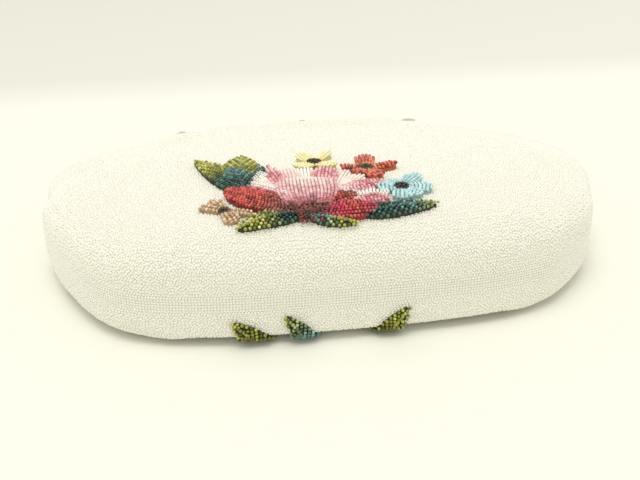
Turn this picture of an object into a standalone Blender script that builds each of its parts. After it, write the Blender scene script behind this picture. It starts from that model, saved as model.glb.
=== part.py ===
"""A beaded evening handbag that lies on its back, as its maker would build it.

The base faces -Y, the frame and handle point to +Y, and the front face is up (+Z).
Each half is a beaded panel over an interlining and a lining. Both are held in a hinged
metal frame with a kiss lock, and a stiff beaded handle swings on two lugs of the rear half.
"""

import math

import bmesh
import bpy
import numpy as np
from mathutils import Matrix, Vector
from mathutils.bvhtree import BVHTree
from mathutils.geometry import interpolate_bezier

# Outline of the bag, seen from the front
BAG_WIDTH = 0.265
BAG_HEIGHT = 0.178
WIDEST_SHARE = 0.562
BASE_FLAT_WIDTH = 0.140
BASE_CROWN = 0.0035
CENTRE_SHARE = 0.5
BASE_HANDLE_SHARES = (0.4, 0.7)
BASE_CROWN_SHARE = 0.3
CORNER_HANDLE_SHARES = (0.61, 0.56)
CORNER_RISE_SHARE = 1.5
SHOULDER_HANDLE_SHARES = (0.47, 0.42)
SHOULDER_SLOPE_SHARE = 0.22
BASE_STEP_COUNT = 3
CORNER_STEP_COUNT = 6
SHOULDER_STEP_COUNT = 6
FRAME_STEP_COUNT = 8
FRAME_SKIP_COUNT = 2
RING_SHARES = (1.0, 0.98, 0.94, 0.87, 0.76, 0.58, 0.32)

# Depths, measured from the plane of the side seam
SEAM_HEIGHT = 0.021
FRONT_DEPTH = 0.0325
FRONT_TOP_DEPTH = 0.0072
FRONT_TAPER_POWER = 1.5
FRONT_SQUARE_POWER = 4.6
BACK_TOP_DEPTH = 0.0085
BACK_SQUARE_POWER = 6.0
BACK_TAPER_SHARE = 0.629
REST_PRESS = 0.0021
HOLLOW_SIDE_MARGIN = 0.012
HOLLOW_TOP_MARGIN = 0.008
HOLLOW_FADE = 0.026

# Layers of each half and the gap that neighbours keep
GAP = 0.0003
BEADED_WALL = 0.0026
INTERLINING = 0.0012
LINING = 0.0008
POCKET_WIDTH = 0.090
POCKET_HEIGHT = 0.062
POCKET_BOTTOM = 0.048
POCKET_COLUMN_COUNT = 8
POCKET_ROW_COUNT = 5

# Metal frame: two hinged channels
FRAME_HALF_SPAN = 0.057
FRAME_BAR_HEIGHT = 0.0065
FRAME_BAR_DEPTH = 0.0046
FRAME_SHEET = 0.0008
FRAME_CHAMFER = 0.0012
FRAME_SPLIT = 0.0004
ARM_HANDLE_SHARE = 0.62
TOP_HANDLE_SHARE = 0.80
HINGE_DROP = 0.018
EAR_RADIUS = 0.0034
EAR_THICKNESS = 0.0021
EAR_SPACE = 0.0007
EAR_CLEARANCE = 0.0008
NECK_DEPTH = 0.0024
NECK_OVERLAP = 0.0018
HINGE_PIN_RADIUS = 0.0010
PIN_HEAD_RIM = 0.0008
PIN_HEAD = 0.0008
CORD_SIDE_COUNT = 6
FOLD_REACH = 0.0130
INNER_MARGIN = 0.0016
ENVELOPE_DEPTH = 0.018
ROUND_SIDE_COUNT = 14

# Kiss lock
KNOB_RADIUS = 0.0036
KNOB_CLEARANCE = 0.0006
KNOB_RISE = 0.0058
KNOB_CROSS = 0.0005
KNOB_STEM_RADIUS = 0.0013
KNOB_COLLAR_RADIUS = 0.0021
KNOB_COLLAR = 0.0007
KNOB_SIDE_COUNT = 12
KNOB_BAND_COUNT = 6

# Handle, its end caps and the lugs that carry it
LUG_RISE = 0.0015
LUG_RADIUS = 0.0036
LUG_THICKNESS = 0.0013
LUG_STAND_OFF = 0.0012
LUG_FOOT_HEIGHT = 0.0030
LUG_FOOT_DEPTH = 0.0030
HANDLE_PIN_RADIUS = 0.0011
EYE_RADIUS = 0.0042
EYE_WIDTH = 0.0044
CUP_WALL = 0.0005
CUP_START = 0.0030
CUP_LENGTH = 0.0105
SOCKET_DEPTH = 0.0055
HANDLE_RADIUS = 0.0038
HANDLE_REACH = 0.0505
HANDLE_SQUARE_POWER = 2.7
HANDLE_STEP_COUNT = 26
HANDLE_SIDE_COUNT = 10
FLOOR_CLEARANCE = 0.0001

# Floral spray on the front, and the one on the back
SPRAY_WIDTH = 0.100
SPRAY_ASPECT_SHARE = 0.84
SPRAY_SHIFT = -0.010
SPRAY_BASE_MARGIN = 0.008
BACK_SPRAY_SHIFT = -0.006
BACK_SPRAY_BASE_MARGIN = 0.006
SPRAY_CLEARANCE = 0.0010
PETAL_THICKNESS = 0.0022
LEAF_THICKNESS = 0.0018
FLOWER_DOME = 0.0010
LEAF_DOME = 0.0006
PETAL_DEPTH_SHARE = 0.30
PETAL_POINT_COUNT = 4
LEAF_POINT_COUNT = 6
INNER_RING_SHARE = 0.55

# name, centre as shares of the spray's width and height, radius as a share of its width,
# petals, turn in degrees, colour
FRONT_FLOWER_SHARES = (
    ("rose_petals", (-0.02, -0.090), 0.235, 7, 10, "rose_pink"),
    ("yellow_flower", (0.070, 0.340), 0.115, 5, 20, "bead_yellow"),
    ("coral_flower", (0.275, 0.175), 0.125, 5, 45, "bead_coral"),
    ("blue_flower", (0.390, -0.165), 0.125, 5, 0, "bead_blue"),
    ("bronze_flower", (-0.390, -0.265), 0.110, 5, 30, "bead_bronze"),
)
ROSE_HEART_SHARE = 0.125
HEART_PETAL_COUNT = 5

# name, base and tip as shares of the spray's width and height, width as a share of its width, colour
FRONT_LEAF_SHARES = (
    ("outer_left_leaf", (-0.330, 0.060), (-0.490, 0.470), 0.130, "bead_olive"),
    ("inner_left_leaf", (-0.235, 0.190), (-0.215, 0.480), 0.130, "bead_green"),
    ("lower_left_leaf", (-0.130, -0.390), (-0.360, -0.430), 0.090, "bead_olive"),
    ("lower_middle_leaf", (0.010, -0.420), (0.135, -0.470), 0.075, "bead_green"),
    ("lower_right_leaf", (0.200, -0.385), (0.480, -0.360), 0.085, "bead_green"),
)
BACK_FLOWER_SHARES = (
    ("back_rose_petals", (0.0, 0.020), 0.215, 7, 0, "rose_pink"),
    ("back_yellow_flower", (0.330, 0.200), 0.110, 5, 0, "bead_yellow"),
    ("back_coral_flower", (-0.340, 0.120), 0.115, 5, 36, "bead_coral"),
    ("back_blue_flower", (0.340, -0.120), 0.110, 5, 18, "bead_blue"),
)
BACK_LEAF_SHARES = (
    ("back_left_leaf", (-0.290, -0.230), (-0.425, -0.520), 0.130, "bead_olive"),
    ("back_middle_leaf", (-0.140, -0.300), (-0.165, -0.530), 0.115, "bead_green"),
    ("back_right_leaf", (0.190, -0.300), (0.290, -0.530), 0.120, "bead_olive"),
    ("back_upper_left_leaf", (-0.150, 0.290), (-0.330, 0.440), 0.115, "bead_green"),
    ("back_upper_right_leaf", (0.120, 0.300), (0.260, 0.480), 0.115, "bead_olive"),
)

# name: colour, roughness, metallic
FINISHES = {
    "bead_white": ((0.90, 0.86, 0.75), 0.35, 0.0),
    "interlining": ((0.78, 0.75, 0.68), 0.95, 0.0),
    "satin": ((0.88, 0.83, 0.70), 0.45, 0.0),
    "frame_metal": ((0.74, 0.73, 0.70), 0.25, 1.0),
    "paper_cord": ((0.70, 0.62, 0.48), 0.9, 0.0),
    "rose_pink": ((0.82, 0.42, 0.50), 0.35, 0.0),
    "rose_red": ((0.52, 0.06, 0.10), 0.35, 0.0),
    "bead_yellow": ((0.88, 0.80, 0.42), 0.35, 0.0),
    "bead_coral": ((0.72, 0.22, 0.16), 0.35, 0.0),
    "bead_blue": ((0.42, 0.68, 0.82), 0.35, 0.0),
    "bead_bronze": ((0.45, 0.30, 0.18), 0.35, 0.0),
    "bead_olive": ((0.40, 0.42, 0.12), 0.35, 0.0),
    "bead_green": ((0.06, 0.18, 0.12), 0.35, 0.0),
}

SHARP_DEGREES = 35
# Signs of the sides: the halves along Z and the ends along X
BACK, FRONT = -1, 1
LEFT, RIGHT = -1, 1

SPRAY_HEIGHT = SPRAY_WIDTH * SPRAY_ASPECT_SHARE
SPRAY_CENTRE = (SPRAY_SHIFT, SPRAY_BASE_MARGIN + SPRAY_HEIGHT / 2)
BACK_SPRAY_CENTRE = (BACK_SPRAY_SHIFT, BACK_SPRAY_BASE_MARGIN + SPRAY_HEIGHT / 2)
SPRAY_HOLLOW = REST_PRESS + GAP + PETAL_THICKNESS + SPRAY_CLEARANCE
WIDEST_HEIGHT = BAG_HEIGHT * WIDEST_SHARE
BACK_TAPER_START = BAG_HEIGHT * BACK_TAPER_SHARE
HOLLOW_HALF_WIDTH = SPRAY_WIDTH / 2 + HOLLOW_SIDE_MARGIN
HOLLOW_TOP = BACK_SPRAY_CENTRE[1] + SPRAY_HEIGHT / 2 + HOLLOW_TOP_MARGIN
HINGE_HEIGHT = BAG_HEIGHT - HINGE_DROP
ARM_BOTTOM = HINGE_HEIGHT + EAR_RADIUS + EAR_CLEARANCE
KNOB_SPACING = 2 * KNOB_RADIUS + KNOB_CLEARANCE
LUG_HEIGHT = BAG_HEIGHT - FRAME_BAR_HEIGHT
LUG_X = FRAME_HALF_SPAN + FRAME_BAR_HEIGHT / 2 + LUG_STAND_OFF
EYE_X = LUG_X + LUG_THICKNESS + GAP
HANDLE_X = EYE_X + EYE_WIDTH / 2
CUP_RADIUS = HANDLE_RADIUS + GAP + CUP_WALL
LUG_Z = SEAM_HEIGHT + LUG_RISE
HANDLE_DROP = LUG_Z - HANDLE_RADIUS - FLOOR_CLEARANCE


def clear_scene():
    for obj in list(bpy.data.objects):
        bpy.data.objects.remove(obj, do_unlink=True)


def finish(name):
    """The Principled material of that name, made once."""
    found = bpy.data.materials.get(name)
    if found:
        return found
    colour, roughness, metallic = FINISHES[name]
    made = bpy.data.materials.new(name)
    made.use_nodes = True
    shader = made.node_tree.nodes["Principled BSDF"]
    shader.inputs["Base Color"].default_value = (*colour, 1.0)
    shader.inputs["Roughness"].default_value = roughness
    shader.inputs["Metallic"].default_value = metallic
    return made


def place(name, mesh, material, parent):
    """A node of the bag: its mesh is given in the bag's frame and kept relative to its parent."""
    mesh.shade_smooth()
    mesh.set_sharp_from_angle(angle=math.radians(SHARP_DEGREES))
    mesh.materials.append(finish(material))
    obj = bpy.data.objects.new(name, mesh)
    bpy.context.scene.collection.objects.link(obj)
    mesh.transform(Matrix.Translation(-parent.location))
    obj.parent = parent
    return obj


def tool(name, mesh, parent):
    """A helper that a Boolean reads: it is never rendered."""
    obj = bpy.data.objects.new(name, mesh)
    bpy.context.scene.collection.objects.link(obj)
    mesh.transform(Matrix.Translation(-parent.location))
    obj.parent = parent
    obj.hide_render = True
    obj.display_type = "WIRE"
    return obj


def combine(target, operation, helper):
    modifier = target.modifiers.new(helper.name, "BOOLEAN")
    modifier.operation = operation
    modifier.solver = "EXACT"
    modifier.object = helper


def pivot(name, location):
    empty = bpy.data.objects.new(name, None)
    empty.location = location
    bpy.context.scene.collection.objects.link(empty)
    return empty


def loft(name, rings, turn_at=None):
    """One closed body through rings of equal count. A ring of one point is a pole.

    Every quad is cut along the same diagonal, and along the other one from turn_at on,
    so that the facets of nested layers stay parallel.
    """
    bm = bmesh.new()
    loops = [[bm.verts.new(point) for point in ring] for ring in rings]
    for index, (low, high) in enumerate(zip(loops, loops[1:])):
        count = max(len(low), len(high))
        for i in range(count):
            j = (i + 1) % count
            a, b, c, d = low[i % len(low)], low[j % len(low)], high[j % len(high)], high[i % len(high)]
            if turn_at is None or index < turn_at:
                triangles = ((a, b, c), (a, c, d))
            else:
                triangles = ((a, b, d), (b, c, d))
            for triangle in triangles:
                if len(set(triangle)) == 3:
                    bm.faces.new(triangle)
    for ring in (loops[0], loops[-1]):
        if len(ring) > 1:
            bm.faces.new(ring)
    bmesh.ops.recalc_face_normals(bm, faces=bm.faces)
    mesh = bpy.data.meshes.new(name)
    bm.to_mesh(mesh)
    bm.free()
    return mesh


def clipped(mesh, point, outward):
    """The mesh without what lies beyond a plane, and closed there again."""
    bm = bmesh.new()
    bm.from_mesh(mesh)
    geometry = bm.verts[:] + bm.edges[:] + bm.faces[:]
    bmesh.ops.bisect_plane(bm, geom=geometry, plane_co=point, plane_no=outward, clear_outer=True)
    bmesh.ops.holes_fill(bm, edges=[edge for edge in bm.edges if edge.is_boundary])
    bmesh.ops.recalc_face_normals(bm, faces=bm.faces)
    bm.to_mesh(mesh)
    bm.free()
    return mesh


def cylinder(name, start, end, radius, sides=ROUND_SIDE_COUNT):
    """A round bar between two points."""
    axis = (Vector(end) - Vector(start)).normalized()
    return turned(name, start, axis, ((0.0, radius), ((Vector(end) - Vector(start)).length, radius)), sides)


def turned(name, start, axis, profile, sides=ROUND_SIDE_COUNT):
    """A body turned about an axis, from (distance along it, radius) pairs."""
    axis = Vector(axis).normalized()
    across = axis.orthogonal().normalized()
    rings = []
    for along, radius in profile:
        centre = Vector(start) + axis * along
        if radius == 0:
            rings.append([centre])
            continue
        turns = [Matrix.Rotation(2 * math.pi * i / sides, 3, axis) for i in range(sides)]
        rings.append([centre + turn @ across * radius for turn in turns])
    return loft(name, rings)


def block(name, low, high):
    (x0, y0, z0), (x1, y1, z1) = low, high
    floor = [(x0, y0, z0), (x1, y0, z0), (x1, y1, z0), (x0, y1, z0)]
    return loft(name, [floor, [(x, y, z1) for x, y, _ in floor]])


def tube(name, path, radius, sides):
    """A round tube along a path of points, square to it at every point."""
    path = [Vector(point) for point in path]
    rings = []
    across = None
    for i, point in enumerate(path):
        tangent = (path[min(i + 1, len(path) - 1)] - path[max(i - 1, 0)]).normalized()
        across = tangent.orthogonal() if across is None else across - tangent * across.dot(tangent)
        across = across.normalized()
        turns = [Matrix.Rotation(2 * math.pi * k / sides, 3, tangent) for k in range(sides)]
        rings.append([point + turn @ across * radius for turn in turns])
    return loft(name, rings)


def bezier(start, handle_a, handle_b, end, steps):
    points = [Vector((x, y, 0)) for x, y in (start, handle_a, handle_b, end)]
    return np.array([(p.x, p.y) for p in interpolate_bezier(*points, steps + 1)])


def normals_of(path):
    """Unit normals to the right of a path that runs with its outer side on the right."""
    along = np.gradient(path, axis=0)
    across = np.column_stack([along[:, 1], -along[:, 0]])
    return across / np.linalg.norm(across, axis=1)[:, None]


def frame_line(start_height=ARM_BOTTOM):
    """The middle of the frame's bar, from the right arm's foot over the top to the left one's."""
    rise = BAG_HEIGHT - FRAME_BAR_HEIGHT / 2 - start_height
    half = bezier(
        (FRAME_HALF_SPAN, start_height),
        (FRAME_HALF_SPAN, start_height + ARM_HANDLE_SHARE * rise),
        (FRAME_HALF_SPAN * TOP_HANDLE_SHARE, start_height + rise),
        (0.0, start_height + rise),
        FRAME_STEP_COUNT,
    )
    left = half[-2::-1].copy()
    left[:, 0] *= -1
    return np.vstack([half, left])


def outline():
    """The bag's edge, once round from the middle of the base by the right side."""
    half_width = BAG_WIDTH / 2
    flat = BASE_FLAT_WIDTH / 2
    near, far = BASE_HANDLE_SHARES
    base = bezier(
        (0.0, 0.0),
        (flat * near, 0.0),
        (flat * far, BASE_CROWN * BASE_CROWN_SHARE),
        (flat, BASE_CROWN),
        BASE_STEP_COUNT,
    )
    out, up = CORNER_HANDLE_SHARES
    reach = out * (half_width - flat)
    corner = bezier(
        (flat, BASE_CROWN),
        (flat + reach, BASE_CROWN + reach * CORNER_RISE_SHARE * BASE_CROWN / flat),
        (half_width, WIDEST_HEIGHT - up * (WIDEST_HEIGHT - BASE_CROWN)),
        (half_width, WIDEST_HEIGHT),
        CORNER_STEP_COUNT,
    )
    line = frame_line()
    top = (line + normals_of(line) * FRAME_BAR_HEIGHT / 2)[: FRAME_STEP_COUNT + 1 : FRAME_SKIP_COUNT]
    end_x, end_y = top[0]
    up, across = SHOULDER_HANDLE_SHARES
    out = across * (half_width - end_x)
    shoulder = bezier(
        (half_width, WIDEST_HEIGHT),
        (half_width, WIDEST_HEIGHT + up * (end_y - WIDEST_HEIGHT)),
        (end_x + out, end_y - SHOULDER_SLOPE_SHARE * out),
        (end_x, end_y),
        SHOULDER_STEP_COUNT,
    )
    half = np.vstack([base[:-1], corner[:-1], shoulder[:-1], top])
    half[-1, 0] = 0.0
    left = half[-2:0:-1].copy()
    left[:, 0] *= -1
    return np.vstack([half, left])


def inset_outline(inset):
    loop = outline()
    around = np.vstack([loop[-1:], loop, loop[:1]])
    return loop - normals_of(around)[1:-1] * inset


def middle():
    return np.array([0.0, BAG_HEIGHT * CENTRE_SHARE])


def edge_share(x, y):
    """How far a point lies from the middle towards the edge, from 0 to 1."""
    loop = outline() - middle()
    angles = np.arctan2(loop[:, 1], loop[:, 0])
    order = np.argsort(angles)
    rise = y - middle()[1]
    distances = np.hypot(loop[:, 0], loop[:, 1])[order]
    reach = np.interp(math.atan2(rise, x), angles[order], distances, period=2 * math.pi)
    return min(math.hypot(x, rise) / reach, 1.0)


def eased(share):
    share = np.clip(share, 0.0, 1.0)
    return share * share * (3 - 2 * share)


def front_depth(x, y):
    taper = 1 - np.clip(y / BAG_HEIGHT, 0.0, 1.0) ** FRONT_TAPER_POWER
    return FRONT_TOP_DEPTH + (FRONT_DEPTH - FRONT_TOP_DEPTH) * taper + 0 * x


def back_depth(x, y):
    """The back's unpressed depth: hollow behind its spray and shallow at the frame."""
    taper = eased((y - BACK_TAPER_START) / (BAG_HEIGHT - BACK_TAPER_START))
    hollow = 1 - eased((np.abs(x) - HOLLOW_HALF_WIDTH) / HOLLOW_FADE)
    hollow = hollow * (1 - eased((y - HOLLOW_TOP) / HOLLOW_FADE))
    fullest = SEAM_HEIGHT + REST_PRESS
    return fullest - SPRAY_HOLLOW * hollow - (fullest - BACK_TOP_DEPTH) * taper


def height(side, x, y, share, inset=0.0):
    """Z of a layer inset from the outside, at a share of the way to the edge. The back is pressed flat."""
    if side == FRONT:
        swell = (1 - share**FRONT_SQUARE_POWER) ** (1 / FRONT_SQUARE_POWER)
        return SEAM_HEIGHT + GAP / 2 + swell * (front_depth(x, y) - inset - GAP / 2)
    swell = (1 - share**BACK_SQUARE_POWER) ** (1 / BACK_SQUARE_POWER)
    return max(SEAM_HEIGHT - GAP / 2 - swell * (back_depth(x, y) - inset - GAP / 2), inset)


def layer_rings(side, inset):
    """Rings of a layer's surface, from its pole out to its rim in the seam plane."""
    edge = inset_outline(inset) - middle()
    pole = middle()
    rings = [[(pole[0], pole[1], height(side, pole[0], pole[1], 0.0, inset))]]
    for share in reversed(RING_SHARES):
        points = middle() + edge * share
        rings.append([(x, y, height(side, x, y, share, inset)) for x, y in points])
    return rings


def shell(name, side, outer_inset, thickness):
    """A bowl-shaped layer of one half, open towards the seam plane."""
    outer = layer_rings(side, outer_inset)
    inner = layer_rings(side, outer_inset + thickness)
    return loft(name, outer + inner[::-1], turn_at=len(outer))


def swept(name, line, section, skipped=0):
    """A section of (outward, up) points swept along a line in the frame's plane.

    Its first and last points can be skipped.
    """
    stations = list(zip(line, normals_of(line)))[skipped : len(line) - skipped]
    rings = [[(*(point + normal * out), up) for out, up in section] for point, normal in stations]
    return loft(name, rings)


def channel_section(side):
    """The folded channel of a frame half, open towards the fabric."""
    edge = FRAME_BAR_HEIGHT / 2
    inner = FRAME_SPLIT / 2
    outer = inner + FRAME_BAR_DEPTH
    points = (
        (-edge, inner),
        (edge, inner),
        (edge, outer - FRAME_CHAMFER),
        (edge - FRAME_CHAMFER, outer),
        (-edge, outer),
        (-edge, outer - FRAME_SHEET),
        (edge - FRAME_SHEET, outer - FRAME_SHEET),
        (edge - FRAME_SHEET, inner + FRAME_SHEET),
        (-edge, inner + FRAME_SHEET),
    )
    return [(out, SEAM_HEIGHT + side * up) for out, up in points]


def frame_envelope(name, side, parent):
    """What the fabric leaves free for a frame half."""
    edge = FRAME_BAR_HEIGHT / 2 + GAP
    low = SEAM_HEIGHT - side * ENVELOPE_DEPTH / 2
    high = SEAM_HEIGHT + side * ENVELOPE_DEPTH
    section = [(-edge, low), (2 * edge, low), (2 * edge, high), (-edge, high)]
    return tool(name, swept(name, frame_line(ARM_BOTTOM - GAP), section), parent)


def notch_for_ears(fabric, parent):
    """Notches in a layer's top corners that leave the hinges and their necks free."""
    inner = ear_span(FRONT)[0] - 2 * GAP - PIN_HEAD
    outer = ear_span(BACK)[1] + 2 * GAP + PIN_HEAD
    reach = EAR_RADIUS + 2 * GAP
    for hand, word in ((LEFT, "left"), (RIGHT, "right")):
        name = f"{fabric.name}_{word}_notch"
        near, far = sorted((hand * inner, hand * outer))
        low = (near, HINGE_HEIGHT - reach, SEAM_HEIGHT - reach)
        high = (far, ARM_BOTTOM + NECK_OVERLAP + GAP, SEAM_HEIGHT + reach)
        combine(fabric, "DIFFERENCE", tool(name, block(name, low, high), parent))


def ear_span(side):
    """X of an ear's inner and outer face: the front half's ears lie inside the rear half's."""
    middle_gap = EAR_SPACE / 2
    if side == FRONT:
        return FRAME_HALF_SPAN - middle_gap - EAR_THICKNESS, FRAME_HALF_SPAN - middle_gap
    return FRAME_HALF_SPAN + middle_gap, FRAME_HALF_SPAN + middle_gap + EAR_THICKNESS


def add_ears(frame, side, parent):
    """Hinge ears at both arms' feet, each a disc on a neck, with the pin's hole."""
    inner, outer = ear_span(side)
    inner_face = SEAM_HEIGHT + side * FRAME_SPLIT / 2
    outer_face = inner_face + side * NECK_DEPTH
    for hand, word in ((LEFT, "left"), (RIGHT, "right")):
        start = (hand * inner, HINGE_HEIGHT, SEAM_HEIGHT)
        end = (hand * outer, HINGE_HEIGHT, SEAM_HEIGHT)
        label = f"{frame.name}_{word}"
        disc = tool(f"{label}_ear", cylinder(f"{label}_ear", start, end, EAR_RADIUS), parent)
        low = (min(start[0], end[0]), HINGE_HEIGHT, min(inner_face, outer_face))
        high = (max(start[0], end[0]), ARM_BOTTOM + NECK_OVERLAP, max(inner_face, outer_face))
        neck = tool(f"{label}_neck", block(f"{label}_neck", low, high), parent)
        combine(frame, "UNION", neck)
        combine(frame, "UNION", disc)
        beyond = hand * EAR_RADIUS
        start = (start[0] - beyond, HINGE_HEIGHT, SEAM_HEIGHT)
        end = (end[0] + beyond, HINGE_HEIGHT, SEAM_HEIGHT)
        hole = cylinder(f"{label}_hole", start, end, HINGE_PIN_RADIUS + GAP)
        combine(frame, "DIFFERENCE", tool(f"{label}_hole", hole, parent))


def add_lugs(frame, parent):
    """Lugs that stand beside the rear half's arms and carry the handle."""
    for hand, word in ((LEFT, "left"), (RIGHT, "right")):
        label = f"{word}_lug"
        start = (hand * LUG_X, LUG_HEIGHT, LUG_Z)
        end = (hand * (LUG_X + LUG_THICKNESS), LUG_HEIGHT, LUG_Z)
        disc = tool(f"{label}_disc", cylinder(f"{label}_disc", start, end, LUG_RADIUS), parent)
        web = hand * (FRAME_HALF_SPAN + FRAME_BAR_HEIGHT / 2 - FRAME_SHEET)
        foot_high = SEAM_HEIGHT - FRAME_SPLIT / 2 - FRAME_SHEET / 2
        foot_low = foot_high - LUG_FOOT_DEPTH
        near, far = sorted((web, end[0]))
        foot = block(
            f"{label}_foot",
            (near, ARM_BOTTOM + FRAME_SHEET, foot_low),
            (far, ARM_BOTTOM + FRAME_SHEET + LUG_FOOT_HEIGHT, foot_high),
        )
        near, far = sorted((start[0], end[0]))
        neck = block(
            f"{label}_neck",
            (near, ARM_BOTTOM + FRAME_SHEET, foot_low + FRAME_SHEET / 2),
            (far, LUG_HEIGHT, foot_high - FRAME_SHEET / 2),
        )
        combine(frame, "UNION", tool(f"{label}_neck", neck, parent))
        combine(frame, "UNION", tool(f"{label}_foot", foot, parent))
        combine(frame, "UNION", disc)
        beyond = hand * LUG_STAND_OFF / 2
        start = (start[0] - beyond, LUG_HEIGHT, LUG_Z)
        end = (end[0] + beyond, LUG_HEIGHT, LUG_Z)
        hole = cylinder(f"{label}_hole", start, end, HANDLE_PIN_RADIUS + GAP)
        combine(frame, "DIFFERENCE", tool(f"{label}_hole", hole, parent))


def make_frame_half(side, parent):
    word = "front" if side == FRONT else "rear"
    name = f"{word}_frame"
    frame = place(name, swept(name, frame_line(), channel_section(side)), "frame_metal", parent)
    add_ears(frame, side, parent)
    if side == BACK:
        add_lugs(frame, parent)
    radius = FRAME_BAR_DEPTH / 2 - FRAME_SHEET - GAP
    out = FRAME_BAR_HEIGHT / 2 - FRAME_SHEET - GAP - radius
    up = SEAM_HEIGHT + side * (FRAME_SPLIT + FRAME_BAR_DEPTH) / 2
    angles = [2 * math.pi * i / CORD_SIDE_COUNT for i in range(CORD_SIDE_COUNT)]
    section = [(out + radius * math.cos(angle), up + radius * math.sin(angle)) for angle in angles]
    beside_ears = frame_line()[:FRAME_STEP_COUNT, 1] < ARM_BOTTOM + NECK_OVERLAP + GAP
    cord = swept(name, frame_line(), section, np.count_nonzero(beside_ears))
    place(f"{word}_frame_cord", cord, "paper_cord", parent)


def make_knob(side, parent):
    """One ball of the kiss lock on its leaning stem."""
    word = "front" if side == FRONT else "rear"
    x = -side * KNOB_SPACING / 2
    foot_z = SEAM_HEIGHT + side * (FRAME_SPLIT + FRAME_BAR_DEPTH) / 2
    ball_z = SEAM_HEIGHT - side * KNOB_CROSS
    start = BAG_HEIGHT + GAP
    ball_y = BAG_HEIGHT + KNOB_RISE
    rings = [(start, KNOB_COLLAR_RADIUS), (start + KNOB_COLLAR, KNOB_COLLAR_RADIUS)]
    rings.append((start + KNOB_COLLAR, KNOB_STEM_RADIUS))
    first = math.asin(KNOB_STEM_RADIUS / KNOB_RADIUS)
    for i in range(KNOB_BAND_COUNT):
        angle = first + (math.pi - first) * i / KNOB_BAND_COUNT
        rings.append((ball_y - KNOB_RADIUS * math.cos(angle), KNOB_RADIUS * math.sin(angle)))
    rings.append((ball_y + KNOB_RADIUS, 0.0))
    loops = []
    for y, radius in rings:
        lean = np.clip((y - start - KNOB_COLLAR) / (ball_y - start - KNOB_COLLAR), 0.0, 1.0)
        z = foot_z + (ball_z - foot_z) * lean
        angles = [2 * math.pi * i / KNOB_SIDE_COUNT for i in range(KNOB_SIDE_COUNT if radius else 1)]
        loops.append([(x + radius * math.sin(angle), y, z + radius * math.cos(angle)) for angle in angles])
    name = f"{word}_clasp_knob"
    place(name, loft(name, loops), "frame_metal", parent)


def pin_profile(radius, length, near_head):
    """A riveted pin of one radius with a head at each end, as (distance along it, radius) pairs."""
    head = radius + PIN_HEAD_RIM
    return (
        (-near_head, head),
        (0.0, head),
        (0.0, radius),
        (length, radius),
        (length, head),
        (length + PIN_HEAD, head),
    )


def make_hinge_pins(parent):
    inner = ear_span(FRONT)[0] - GAP
    outer = ear_span(BACK)[1] + GAP
    length = outer - inner
    profile = pin_profile(HINGE_PIN_RADIUS, length, PIN_HEAD)
    for hand, word in ((LEFT, "left"), (RIGHT, "right")):
        name = f"{word}_hinge_pin"
        start = (hand * inner, HINGE_HEIGHT, SEAM_HEIGHT)
        place(name, turned(name, start, (hand, 0, 0), profile), "frame_metal", parent)


def handle_point(across, along):
    """A point of the handle's plane, which droops from the lugs to the surface."""
    droop = math.asin(HANDLE_DROP / HANDLE_REACH)
    return Vector((across, LUG_HEIGHT + along * math.cos(droop), LUG_Z - along * math.sin(droop)))


def make_handle(parent):
    start = CUP_START + CUP_LENGTH - SOCKET_DEPTH + GAP
    path = []
    for i in range(HANDLE_STEP_COUNT + 1):
        angle = math.pi * i / HANDLE_STEP_COUNT
        power = 2 / HANDLE_SQUARE_POWER
        across = math.copysign(abs(math.cos(angle)) ** power, math.cos(angle)) * HANDLE_X
        along = start + (HANDLE_REACH - start) * abs(math.sin(angle)) ** power
        path.append(handle_point(across, along))
    place("handle_grip", tube("handle_grip", path, HANDLE_RADIUS, HANDLE_SIDE_COUNT), "bead_white", parent)
    for hand, word in ((LEFT, "left"), (RIGHT, "right")):
        make_handle_cap(hand, word, parent)


def make_handle_cap(hand, word, parent):
    """The metal cup of one handle end, with the eye that its pin goes through."""
    name = f"{word}_handle_cap"
    x = hand * HANDLE_X
    centre = Vector((x, LUG_HEIGHT, LUG_Z))
    half_width = Vector((EYE_WIDTH / 2, 0, 0))
    eye = cylinder(name, centre - half_width, centre + half_width, EYE_RADIUS)
    cap = place(name, eye, "frame_metal", parent)
    cup_start = handle_point(x, CUP_START)
    cup_end = handle_point(x, CUP_START + CUP_LENGTH)
    cup = cylinder(f"{name}_cup", cup_start, cup_end, CUP_RADIUS)
    combine(cap, "UNION", tool(f"{name}_cup", cup, parent))
    socket_start = CUP_START + CUP_LENGTH - SOCKET_DEPTH
    socket = turned(
        f"{name}_socket",
        handle_point(x, socket_start),
        cup_end - cup_start,
        ((0.0, HANDLE_RADIUS + GAP), (CUP_LENGTH, HANDLE_RADIUS + GAP)),
    )
    combine(cap, "DIFFERENCE", tool(f"{name}_socket", socket, parent))
    radius = HANDLE_PIN_RADIUS + GAP
    hole = cylinder(f"{name}_hole", centre - 2 * half_width, centre + 2 * half_width, radius)
    combine(cap, "DIFFERENCE", tool(f"{name}_hole", hole, parent))
    trim = block(
        f"{name}_trim",
        (min(0, hand * EYE_X), LUG_HEIGHT - CUP_LENGTH, 0.0),
        (max(0, hand * EYE_X), LUG_HEIGHT + LUG_RADIUS + GAP, BAG_HEIGHT),
    )
    combine(cap, "DIFFERENCE", tool(f"{name}_trim", trim, parent))


def make_handle_pins(parent):
    inner = LUG_X - GAP
    outer = HANDLE_X + EYE_WIDTH / 2 + GAP
    profile = pin_profile(HANDLE_PIN_RADIUS, outer - inner, PIN_HEAD / 2)
    for hand, word in ((LEFT, "left"), (RIGHT, "right")):
        name = f"{word}_handle_pin"
        start = (hand * inner, LUG_HEIGHT, LUG_Z)
        place(name, turned(name, start, (hand, 0, 0), profile), "frame_metal", parent)


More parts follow.
